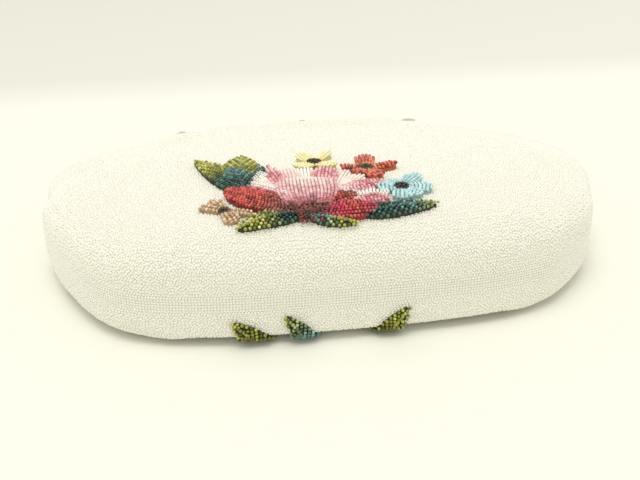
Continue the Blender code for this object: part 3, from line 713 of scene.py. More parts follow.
def joined(name: str, meshes: list[bpy.types.Mesh], colours: list[Colour]) -> bpy.types.Mesh:
    """One mesh of several, each with its own colour.

    Args:
        name: The mesh's name.
        meshes: Closed bodies.
        colours: The colour of each one.

    Returns:
        The mesh, which carries the colours as an attribute.
    """
    points, faces, paint = [], [], []
    for mesh, colour in zip(meshes, colours):
        base = len(points)
        points.extend(tuple(v.co) for v in mesh.vertices)
        faces.extend([base + i for i in p.vertices] for p in mesh.polygons)
        paint.extend([colour] * len(mesh.vertices))
    out = bpy.data.meshes.new(name)
    out.from_pydata(points, [], faces)
    layer = out.attributes.new(Mark.COLOUR.value, "FLOAT_VECTOR", "POINT")
    layer.data.foreach_set("vector", np.array(paint, np.float32).ravel())
    out.update()
    out.shade_smooth()
    return out


class Term:
    """A node output that sums can be written with."""

    def __init__(self, graph: "Graph", socket: bpy.types.NodeSocket) -> None:
        """Keeps the socket and the graph that new nodes go into."""
        self.graph, self.socket = graph, socket

    def maths(self, operation: str, *others: "Term | float", first: bool = True) -> "Term":
        """A Math node on this value and others, with this one first or last.

        Args:
            operation: The node's operation.
            *others: Its other values.
            first: Whether this value goes first.

        Returns:
            The node's output.
        """
        values = [self, *others] if first else [*others, self]
        node = self.graph.add("ShaderNodeMath", {"operation": operation}, dict(enumerate(values)))
        return Term(self.graph, node.outputs[0])

    def __add__(self, other: "Term | float") -> "Term":
        """self + other."""
        return self.maths("ADD", other)

    __radd__ = __add__

    def __sub__(self, other: "Term | float") -> "Term":
        """self - other."""
        return self.maths("SUBTRACT", other)

    def __rsub__(self, other: float) -> "Term":
        """other - self."""
        return self.maths("SUBTRACT", other, first=False)

    def __mul__(self, other: "Term | float") -> "Term":
        """self * other."""
        return self.maths("MULTIPLY", other)

    __rmul__ = __mul__

    def __truediv__(self, other: "Term | float") -> "Term":
        """self / other."""
        return self.maths("DIVIDE", other)

    def __rtruediv__(self, other: float) -> "Term":
        """other / self."""
        return self.maths("DIVIDE", other, first=False)

    def sine(self) -> "Term":
        """The sine of the value."""
        return self.maths("SINE")

    def size(self) -> "Term":
        """The value without its sign."""
        return self.maths("ABSOLUTE")

    def above(self, other: "Term | float") -> "Term":
        """One where the value is over the other."""
        return self.maths("GREATER_THAN", other)

    def kept(self) -> "Term":
        """The value held between 0 and 1."""
        node = self.graph.add("ShaderNodeClamp", {}, {0: self})
        return Term(self.graph, node.outputs[0])


class Graph:
    """Adds nodes to a material or a geometry tree."""

    def __init__(self, tree: bpy.types.NodeTree) -> None:
        """Keeps the tree."""
        self.tree = tree

    def add(
        self,
        kind: str,
        settings: dict[str, object] | None = None,
        inputs: dict[int | str, object] | None = None,
    ) -> bpy.types.Node:
        """Adds one node.

        Args:
            kind: The node's type.
            settings: Its own settings, which are set first.
            inputs: Values, sockets or terms for its inputs.

        Returns:
            The node.
        """
        node = self.tree.nodes.new(kind)
        for name, value in (settings or {}).items():
            setattr(node, name, value)
        for key, value in (inputs or {}).items():
            value = value.socket if isinstance(value, Term) else value
            if isinstance(value, bpy.types.NodeSocket):
                self.tree.links.new(value, node.inputs[key])
            else:
                node.inputs[key].default_value = value
        return node

    def term(self, node: bpy.types.Node, output: int | str = 0) -> Term:
        """A node's output as a value that sums can be written with."""
        return Term(self, node.outputs[output])


class Shader(Graph):
    """A material with one Principled surface."""

    def __init__(self, name: str) -> None:
        """Makes the material and its surface.

        Args:
            name: The material's name.
        """
        self.material = bpy.data.materials.new(name)
        self.material.use_nodes = True
        super().__init__(self.material.node_tree)
        self.surface = self.tree.nodes["Principled BSDF"]
        self.place = self.add("ShaderNodeTexCoord").outputs["Object"]

    def attribute(self, mark: Mark, output: str = "Fac") -> Term:
        """The value or colour that the mesh carries under a name."""
        return self.term(self.add("ShaderNodeAttribute", {"attribute_name": mark.value}), output)

    def noise(self, scale: float, detail: float = 2.0, stretch: Colour = (1, 1, 1)) -> Term:
        """Even noise in space, from 0 to 1.

        Args:
            scale: How fine it is.
            detail: How many finer layers it has.
            stretch: Its scale along each axis.

        Returns:
            The noise.
        """
        where = self.add("ShaderNodeMapping", {}, {"Vector": self.place, "Scale": stretch})
        node = self.add(
            "ShaderNodeTexNoise",
            {},
            {"Vector": where.outputs[0], "Scale": scale, "Detail": detail},
        )
        return self.term(node)

    def mix(self, share: Term | float, a: object, b: object, blend: str = "MIX") -> Term:
        """One colour mixed with another.

        Args:
            share: How much of the second.
            a: The first colour.
            b: The second colour.
            blend: How they mix.

        Returns:
            The mixed colour.
        """
        node = self.add(
            "ShaderNodeMix",
            {"data_type": "RGBA", "blend_type": blend, "clamp_result": True},
            {0: share, 6: self._paint(a), 7: self._paint(b)},
        )
        return self.term(node, 2)

    @staticmethod
    def _paint(colour: object) -> object:
        """A plain colour with its alpha, or a link as it is."""
        return (*colour, 1.0) if isinstance(colour, tuple) else colour

    def channel(self, colour: object, number: int) -> Term:
        """One channel of a colour as a number."""
        node = self.add("ShaderNodeSeparateColor", {}, {0: self._paint(colour)})
        return self.term(node, number)

    def axes(self) -> tuple[Term, Term, Term]:
        """The three object coordinates."""
        node = self.add("ShaderNodeSeparateXYZ", {}, {0: self.place})
        return self.term(node, 0), self.term(node, 1), self.term(node, 2)

    def bump(self, height: Term, strength: float, distance: float) -> None:
        """Lets the height tilt the surface.

        Args:
            height: The height at each point.
            strength: How strongly it tilts.
            distance: How high 1 is, in metres.
        """
        node = self.add(
            "ShaderNodeBump", {}, {"Height": height, "Strength": strength, "Distance": distance}
        )
        self.dress(Normal=node.outputs[0])

    def dress(self, **inputs: object) -> None:
        """Sets the surface's inputs. An underscore in a name stands for a space.

        Args:
            **inputs: Values, colours, sockets or terms.
        """
        for name, value in inputs.items():
            value = value.socket if isinstance(value, Term) else value
            socket = self.surface.inputs[name.replace("_", " ")]
            if isinstance(value, bpy.types.NodeSocket):
                self.tree.links.new(value, socket)
            else:
                socket.default_value = self._paint(value) if socket.type == "RGBA" else value


@dataclass(frozen=True)
class GlassBead:
    """Small round glass beads of one colour, each a little different."""

    name: str
    light: Colour = (0.99, 0.98, 0.895)
    deep: Colour = (0.98, 0.96, 0.83)
    roughness: float = 0.30

    def make(self) -> bpy.types.Material:
        """The material, with painted shade at each bead's ends, where its thread hole is.

        Returns:
            The new material.
        """
        s = Shader(self.name)
        tint = s.attribute(Mark.TINT)
        hole = s.attribute(Mark.HOLE)
        cloud = s.noise(34.0)
        worn = (tint * 0.75 + cloud * 0.5 - 0.1).kept()
        colour = s.mix(worn, self.light, self.deep)
        # Painted shade at the thread hole's ends, mixed towards a tan grey.
        dark = ((hole - 0.84) * 8.0).kept()
        colour = s.mix(dark * 0.4, colour, (0.62, 0.55, 0.40))
        s.dress(Base_Color=colour, Roughness=(self.roughness - 0.12) + tint * 0.24)
        s.dress(IOR=1.5, Coat_Weight=0.1, Coat_Roughness=0.12)
        return s.material


@dataclass(frozen=True)
class PaintedBead:
    """Strung glass beads that carry their own colours."""

    name: str
    roughness: float = 0.26

    def make(self) -> bpy.types.Material:
        """The material, lighter and darker from bead to bead, partly each bead's own tone and
        partly painted glints and shade, with painted shade at each bead's hole ends.

        Returns:
            The new material.
        """
        s = Shader(self.name)
        tint = s.attribute(Mark.TINT)
        hole = s.attribute(Mark.HOLE)
        colour = s.attribute(Mark.COLOUR, "Color")
        green = s.channel(colour, 1)
        depth = (0.95 - green * 1.1).kept()
        # Bead-to-bead darkening and lightening: partly each bead's own tone, partly painted shade
        # and painted glints.
        shade = s.mix((tint * 2.2 - 1.1).kept() * depth * 0.85, colour, (0.012, 0.008, 0.006))
        shade = s.mix((1.05 - tint * 1.9).kept(), shade, shade, "SCREEN")
        # Painted shade at the thread hole's ends.
        dark = ((hole - 0.8) * 6.0).kept()
        shade = s.mix(dark * 0.6, shade, (0.03, 0.015, 0.01))
        s.dress(Base_Color=shade, Roughness=(self.roughness - 0.08) + tint * 0.16)
        s.dress(IOR=1.5, Specular_IOR_Level=0.3, Coat_Weight=0.25, Coat_Roughness=0.06)
        return s.material


@dataclass(frozen=True)
class WovenCloth:
    """Plain woven cloth that the beads are sewn to."""

    name: str
    light: Colour = (0.98, 0.96, 0.86)
    deep: Colour = (0.94, 0.91, 0.78)
    thread: float = 0.0007

    def make(self) -> bpy.types.Material:
        """The material, with crossing threads.

        Returns:
            The new material.
        """
        s = Shader(self.name)
        x, y, _ = s.axes()
        turn = 2 * math.pi / self.thread
        weave = (x * turn).sine() * (y * turn).sine()
        cloud = s.noise(60.0)
        colour = s.mix((weave * 0.3 + cloud * 0.7).kept(), self.deep, self.light)
        s.dress(Base_Color=colour, Roughness=0.75 + cloud * 0.2)
        s.bump(weave, 0.4, 0.0002)
        return s.material


@dataclass(frozen=True)
class Satin:
    """Lining satin with long floats that catch the light."""

    name: str
    light: Colour = (0.86, 0.79, 0.63)
    deep: Colour = (0.70, 0.61, 0.45)

    def make(self) -> bpy.types.Material:
        """The material, with fine diagonal floats and soft creases, painted lighter on their ridges
        and in shade in their hollows.

        Returns:
            The new material.
        """
        s = Shader(self.name)
        x, y, z = s.axes()
        twill = ((x + y * 0.6 + z * 0.4) * (2 * math.pi / 0.00055)).sine()
        crease = s.noise(22.0, 3.0, (1.0, 2.2, 1.0))
        # Colour follows the creases' height: painted light on the ridges, painted shade in the
        # hollows.
        colour = s.mix((crease * 0.8 + twill * 0.03 + 0.05).kept(), self.deep, self.light)
        s.dress(Base_Color=colour, Roughness=0.34 + crease * 0.2)
        s.dress(Sheen_Weight=0.35, Sheen_Roughness=0.35)
        s.bump(crease * 4.0 + twill * 0.02, 0.35, 0.0012)
        return s.material


@dataclass(frozen=True)
class Plate:
    """Silver-tone plated metal with fine rubbed marks."""

    name: str
    light: Colour = (0.63, 0.615, 0.56)
    dull: Colour = (0.42, 0.405, 0.36)
    roughness: float = 0.2

    def make(self) -> bpy.types.Material:
        """The material, dulled in patches and rubbed along its length.

        Returns:
            The new material.
        """
        s = Shader(self.name)
        cloud = s.noise(140.0, 4.0)
        rub = s.noise(900.0, 2.0, (0.12, 1.0, 1.0))
        colour = s.mix((cloud * 1.6 - 0.4).kept() * 0.6, self.light, self.dull)
        rough = self.roughness + rub * 0.16 + cloud * 0.08
        s.dress(Base_Color=colour, Metallic=1.0, Roughness=rough)
        s.bump(rub, 0.12, 0.0001)
        return s.material


@dataclass(frozen=True)
class TwistedPaper:
    """Cord of twisted brown paper."""

    name: str
    light: Colour = (0.62, 0.50, 0.33)
    deep: Colour = (0.38, 0.29, 0.18)

    def make(self) -> bpy.types.Material:
        """The material, with the slanting edges of the twist.

        Returns:
            The new material.
        """
        s = Shader(self.name)
        x, y, z = s.axes()
        twist = ((x + y + z * 1.6) * (2 * math.pi / 0.0016)).sine()
        fibre = s.noise(700.0, 3.0)
        colour = s.mix((twist * 0.35 + fibre * 0.7).kept(), self.deep, self.light)
        s.dress(Base_Color=colour, Roughness=0.72 + fibre * 0.2)
        s.bump(twist + fibre * 0.4, 0.5, 0.0003)
        return s.material


@dataclass(frozen=True)
class PaddingCloth:
    """The thin backing under a motif's strung rows, darker than the beads as painted shade in the
    gaps between them.
    """

    name: str

    def make(self) -> bpy.types.Material:
        """The material, a little uneven.

        Returns:
            The new material.
        """
        s = Shader(self.name)
        cloud = s.noise(500.0, 2.0)
        # The backing's colour carries painted shade for the gaps between the rows.
        backing_and_gap_shade = s.attribute(Mark.COLOUR, "Color")
        colour = s.mix(cloud * 0.4, backing_and_gap_shade, (0.02, 0.015, 0.01))
        s.dress(Base_Color=colour, Roughness=0.8 + cloud * 0.15)
        s.bump(cloud, 0.3, 0.0002)
        return s.material


@dataclass(frozen=True)
class TableTop:
    """The pale surface that the bag lies on."""

    name: str = "pale_table"
    near: Colour = (0.925, 0.925, 0.825)
    far: Colour = (0.72, 0.71, 0.62)

    def make(self) -> bpy.types.Material:
        """The material, greyer behind the bag and to the left: painted shade where the table meets
        its backdrop.

        Returns:
            The new material.
        """
        s = Shader(self.name)
        x, y, _ = s.axes()
        # Painted shade: the table greys with distance behind the bag and towards the left.
        away = ((y - 0.185) * 20.0).kept() * 0.5 + ((y - 0.2) * 1.5 - x * 0.5).kept() * 0.5
        s.dress(Base_Color=s.mix(away, self.near, self.far), Roughness=0.9 + away * 0.05)
        s.dress(Specular_IOR_Level=0.1)
        return s.material


class BeadTrees:
    """The two geometry trees that set beads on a surface and along threads."""

    def __init__(self) -> None:
        """Builds both trees."""
        self.scattered = self._scattered()
        self.strung = self._strung()

    @staticmethod
    def _start(name: str, inputs: dict[str, str]) -> tuple[Graph, dict[str, bpy.types.NodeSocket]]:
        """A new tree with its named inputs.

        Args:
            name: The tree's name.
            inputs: The kind of socket for each input's name.

        Returns:
            The graph, and the input sockets by name.
        """
        tree = bpy.data.node_groups.new(name, "GeometryNodeTree")
        tree.interface.new_socket("Geometry", in_out="OUTPUT", socket_type="NodeSocketGeometry")
        for label, kind in {"Geometry": "Geometry", **inputs}.items():
            tree.interface.new_socket(label, in_out="INPUT", socket_type=f"NodeSocket{kind}")
        graph = Graph(tree)
        group = graph.add("NodeGroupInput")
        return graph, {label: group.outputs[label] for label in ("Geometry", *inputs)}

    @staticmethod
    def _stored(
        g: Graph, geometry: bpy.types.NodeSocket, mark: Mark, value: Term | bpy.types.NodeSocket
    ) -> bpy.types.NodeSocket:
        """The geometry with a number for each point under a mark's name.

        Args:
            g: The tree's graph.
            geometry: What gets the number.
            mark: Its name.
            value: The number.

        Returns:
            The geometry's socket.
        """
        node = g.add(
            "GeometryNodeStoreNamedAttribute",
            {"data_type": "FLOAT", "domain": "POINT"},
            {0: geometry, 2: mark.value, 3: value},
        )
        return node.outputs[0]

    def _sewn(
        self,
        g: Graph,
        given: dict[str, bpy.types.NodeSocket],
        points: bpy.types.Node,
        bead: bpy.types.Node,
        turned: bpy.types.Node,
        sizes: tuple[float, float, int],
    ) -> bpy.types.NodeTree:
        """Ends a tree with a shaded bead on each point, as real geometry.

        Args:
            g: The tree's graph.
            given: Its input sockets by name.
            points: The node that makes the places.
            bead: The node that makes one bead.
            turned: The node that turns the beads.
            sizes: The least and greatest size, and the seed for them.

        Returns:
            The tree.
        """
        shade = g.add("FunctionNodeRandomValue", {"data_type": "FLOAT"}, {8: given["Seed"]})
        tinted = self._stored(g, points.outputs[0], Mark.TINT, shade.outputs[1])
        smooth = g.add("GeometryNodeSetShadeSmooth", {}, {0: bead.outputs[0]})
        place = g.add("GeometryNodeInputPosition")
        parts = g.add("ShaderNodeSeparateXYZ", {}, {0: place.outputs[0]})
        along = g.term(parts, 2).size() / Term(g, given["Bead Radius"])
        holed = self._stored(g, smooth.outputs[0], Mark.HOLE, along)
        size = g.add("ShaderNodeCombineXYZ", {}, {0: 1.0, 1: 1.0, 2: given["Bead Length"]})
        short = g.add("GeometryNodeTransform", {}, {0: holed, 3: size.outputs[0]})
        scale = g.add(
            "FunctionNodeRandomValue", {"data_type": "FLOAT"}, dict(zip((2, 3, 8), sizes))
        )
        sewn = g.add(
            "GeometryNodeInstanceOnPoints",
            {},
            {0: tinted, 2: short.outputs[0], 5: turned.outputs[0], 6: scale.outputs[1]},
        )
        real = g.add("GeometryNodeRealizeInstances", {}, {0: sewn.outputs[0]})
        painted = g.add("GeometryNodeSetMaterial", {}, {0: real.outputs[0], 2: given["Finish"]})
        g.add("NodeGroupOutput", {}, {0: painted.outputs[0]})
        return g.tree

    def _scattered(self) -> bpy.types.NodeTree:
        """Beads sewn close together at random over a surface, between two heights.

        Returns:
            The tree.
        """
        g, given = self._start(
            "scattered_beads",
            {
                "Spacing": "Float",
                "Density": "Float",
                "Bead Radius": "Float",
                "Bead Length": "Float",
                "From": "Float",
                "To": "Float",
                "Seed": "Int",
                "Finish": "Material",
            },
        )
        spread = g.add(
            "GeometryNodeDistributePointsOnFaces",
            {"distribute_method": "POISSON"},
            {0: given["Geometry"], 2: given["Spacing"], 3: given["Density"], 6: given["Seed"]},
        )
        place = g.add("GeometryNodeInputPosition")
        y = g.term(g.add("ShaderNodeSeparateXYZ", {}, {0: place.outputs[0]}), 1)
        below = Term(g, given["From"]).above(y)
        above = y.above(Term(g, given["To"]))
        ground = g.add(
            "GeometryNodeInputNamedAttribute", {"data_type": "FLOAT"}, {0: Mark.ROOM.value}
        )
        closed = (0.0 - g.term(ground)).above(0.0)
        gone = (below + above + closed).above(0.5)
        kept = g.add(
            "GeometryNodeDeleteGeometry", {"domain": "POINT"}, {0: spread.outputs[0], 1: gone}
        )
        bead = g.add(
            "GeometryNodeMeshIcoSphere", {}, {"Radius": given["Bead Radius"], "Subdivisions": 1}
        )
        spin = g.add(
            "FunctionNodeRandomValue",
            {"data_type": "FLOAT_VECTOR"},
            {0: (0.0, 0.0, 0.0), 1: (math.tau, math.tau, math.tau), 8: given["Seed"]},
        )
        turned = g.add("FunctionNodeEulerToRotation", {}, {0: spin.outputs[0]})
        return self._sewn(g, given, kept, bead, turned, (0.9, 1.1, 5))

    def _strung(self) -> bpy.types.NodeTree:
        """Beads threaded on lines, with their holes along the thread.

        Returns:
            The tree.
        """
        g, given = self._start(
            "strung_beads",
            {
                "Pitch": "Float",
                "Bead Radius": "Float",
                "Bead Length": "Float",
                "Sides": "Int",
                "Seed": "Int",
                "Finish": "Material",
            },
        )
        line = g.add("GeometryNodeMeshToCurve", {}, {0: given["Geometry"]})
        points = g.add(
            "GeometryNodeCurveToPoints", {"mode": "LENGTH"}, {0: line.outputs[0], 2: given["Pitch"]}
        )
        outward = g.add(
            "GeometryNodeInputNamedAttribute",
            {"data_type": "FLOAT_VECTOR"},
            {0: Mark.OUTWARD.value},
        )
        along = g.add("FunctionNodeAlignRotationToVector", {"axis": "Z"}, {2: points.outputs[1]})
        facing = g.add(
            "FunctionNodeAlignRotationToVector",
            {"axis": "X", "pivot_axis": "Z"},
            {0: along.outputs[0], 2: outward.outputs[0]},
        )
        bead = g.add(
            "GeometryNodeMeshUVSphere",
            {},
            {"Segments": given["Sides"], "Rings": 4, "Radius": given["Bead Radius"]},
        )
        return self._sewn(g, given, points, bead, facing, (0.9, 1.08, 7))


def grown(
    name: str, base: bpy.types.Mesh, tree: bpy.types.NodeTree, inputs: dict[str, object]
) -> bpy.types.Object:
    """The plain mesh that a tree makes from a base mesh.

    Args:
        name: The new object's name.
        base: The mesh that the tree starts from.
        tree: A geometry tree.
        inputs: Values for the tree's named inputs.

    Returns:
        The object, with no modifier left on it.
    """
    made = linked(name, base)
    modifier = made.modifiers.new("growth", "NODES")
    modifier.node_group = tree
    sockets = {s.name: s.identifier for s in tree.interface.items_tree if s.in_out == "INPUT"}
    for label, value in inputs.items():
        modifier[sockets[label]] = value
    depsgraph = bpy.context.evaluated_depsgraph_get()
    mesh = bpy.data.meshes.new_from_object(
        made.evaluated_get(depsgraph), preserve_all_data_layers=True, depsgraph=depsgraph
    )
    made.modifiers.clear()
    made.data = mesh
    mesh.name = name
    return made


@dataclass
class Beader:
    """Sets beads on surfaces and threads."""

    form: BagForm
    trees: BeadTrees = field(default_factory=BeadTrees)

    def string(
        self,
        name: str,
        strands: list[Strand],
        finish: bpy.types.Material,
        pitch: float = 0.00155,
        radius: float = 0.00080,
        length: float = 0.92,
        sides: int = 8,
        seed: int = 3,
    ) -> bpy.types.Object:
        """Beads strung along threads.

        Args:
            name: The piece's name.
            strands: The threads, in the bag's own frame.
            finish: The beads' material.
            pitch: From one bead to the next.
            radius: A bead's radius.
            length: A bead's length as a share of its width.
            sides: Faces round a bead.
            seed: For their shades.

        Returns:
            One plain mesh object.
        """
        points = np.vstack([s.points for s in strands])
        edges, base = [], 0
        for strand in strands:
            count = len(strand.points)
            edges.extend((base + i, base + i + 1) for i in range(count - 1))
            base += count
        mesh = bpy.data.meshes.new(name)
        mesh.from_pydata(self.form.placed(points).tolist(), edges, [])
        for mark, rows in (
            (Mark.OUTWARD, np.vstack([s.outward for s in strands])),
            (Mark.COLOUR, np.vstack([s.colours for s in strands])),
        ):
            layer = mesh.attributes.new(mark.value, "FLOAT_VECTOR", "POINT")
            layer.data.foreach_set("vector", rows.astype(np.float32).ravel())
        return grown(
            name,
            mesh,
            self.trees.strung,
            {
                "Pitch": pitch,
                "Bead Radius": radius,
                "Bead Length": length,
                "Sides": sides,
                "Seed": seed,
                "Finish": finish,
            },
        )


@dataclass
class BeadedFace:
    """One face of the bag: its ground cloth, scattered beads and rows beside the seam."""

    side: Side
    form: BagForm
    beader: Beader
    beads: bpy.types.Material
    cloth: bpy.types.Material
    spacing: float = 0.00098
    bead_radius: float = 0.00078
    bead_depth: float = 0.00066
    row_depth: float = 0.00062
    cloth_depth: float = 0.00067
    cloth_thickness: float = 0.0008
    bead_density: float = 9.0e6
    bead_length: float = 0.82
    bead_bar_room: float = 0.0006
    row_bar_room: float = 0.0008
    row_clearance: float = 0.05
    row_pitch: float = 0.00128
    row_count: int = 4
    bands: tuple[float, ...] = (-1.0, 0.030, 0.056, 0.082, 0.106, 0.130, 1.0)

    @property
    def word(self) -> str:
        """The face's name."""
        return self.side.name.lower()

    def build_cloth(self) -> bpy.types.Object:
        """The woven cloth under the beads, a closed thin shell.

        Returns:
            The cloth.
        """
        insets = (self.cloth_depth, self.cloth_depth + self.cloth_thickness)
        made = shell(f"{self.word}_cloth", self.form, self.side, (200, 60), insets)
        made.data.materials.append(self.cloth)
        return made

    def _bed(self) -> bpy.types.Mesh:
        """The surface that the centres of the scattered beads lie on.

        Returns:
            The mesh, with the room for beads at each point.
        """
        rings = self.form.rings(self.side, 480, 120, self.bead_depth)
        count, around = rings.shape[:2]
        flat = rings.reshape(-1, 3)
        room = self.form.to_seam(rings).ravel()
        room = room - (self.row_count + self.row_clearance) * self.row_pitch
        bar_gap = self.form.bar_distance(flat[:, 0], flat[:, 1]) - self.form.bar_height / 2
        bar_gap = bar_gap - self.bead_bar_room
        room = np.minimum(np.minimum(room, bar_gap), self.form.ear_gap(flat))
        faces = []
        for ring in range(count - 1):
            a, b = ring * around, (ring + 1) * around
            for j in range(around):
                k = (j + 1) % around
                faces.append((a + j, b + j, b + k, a + k)[:: self.side.value])
        faces.append(tuple(range(around))[:: self.side.value])
        mesh = bpy.data.meshes.new(f"{self.word}_bed")
        mesh.from_pydata(self.form.placed(flat).tolist(), [], faces)
        layer = mesh.attributes.new(Mark.ROOM.value, "FLOAT", "POINT")
        layer.data.foreach_set("value", room.astype(np.float32))
        mesh.update()
        return mesh

    def build_beads(self) -> list[bpy.types.Object]:
        """The scattered beads, in bands from the base up.

        Returns:
            One object for each band.
        """
        made = []
        for index, (low, high) in enumerate(zip(self.bands, self.bands[1:])):
            made.append(
                grown(
                    f"{self.word}_beads_{index + 1}",
                    self._bed(),
                    self.beader.trees.scattered,
                    {
                        "Spacing": self.spacing,
                        "Density": self.bead_density,
                        "Bead Radius": self.bead_radius,
                        "Bead Length": self.bead_length,
                        "From": self.form.base_y + low,
                        "To": self.form.base_y + high,
                        "Seed": 11 if self.side is Side.FRONT else 12,
                        "Finish": self.beads,
                    },
                )
            )
        return made

    def build_rows(self) -> bpy.types.Object:
        """The even rows that follow the seam.

        Returns:
            One object for all rows.
        """
        rings = self.form.rings(self.side, 480, 400, self.row_depth)
        normals = self.form.ring_normals(rings, self.side)
        to_seam = self.form.to_seam(rings)
        edge = self.form.bar_height / 2 + self.row_bar_room
        strands = []
        for row in range(self.row_count):
            reach = (row + 0.5) * self.row_pitch
            points, outward = (
                np.array(
                    [
                        [np.interp(reach, to_seam[::-1, j], layer[::-1, j, i]) for i in range(3)]
                        for j in range(rings.shape[1])
                    ]
                )
                for layer in (rings, normals)
            )
            outward = unit(outward)
            if row % 2:
                points = (points + np.roll(points, -1, axis=0)) / 2
            free = self.form.bar_distance(points[:, 0], points[:, 1]) > edge
            free &= self.form.ear_gap(points, 2) >= 0
            strands += runs(points, outward, free)
        return self.beader.string(
            f"{self.word}_seam_rows", strands, self.beads, self.row_pitch, 0.00070, 0.92, 6, 5
        )


def runs(points: np.ndarray, outward: np.ndarray, free: np.ndarray) -> list[Strand]:
    """The unbroken stretches of a closed line, as threads.

    Args:
        points: The line's points, once round.
        outward: The direction that each one faces.
        free: Which points may carry beads.

    Returns:
        A thread for each stretch.
    """
    if free.all():
        groups = [np.arange(len(points) + 1) % len(points)]
    else:
        start = int(np.argmin(free))
        order = (np.arange(len(points)) + start) % len(points)
        breaks = np.flatnonzero(~free[order])
        groups = [g for g in np.split(order, breaks) if len(g) > 3]
        groups = [g[free[g]] for g in groups]
    return [Strand(points[g], outward[g], np.ones((len(g), 3))) for g in groups if len(g) > 3]


def triangles(made: bpy.types.Object) -> int:
    """How many triangles an object's mesh has."""
    return sum(len(p.vertices) - 2 for p in made.data.polygons)


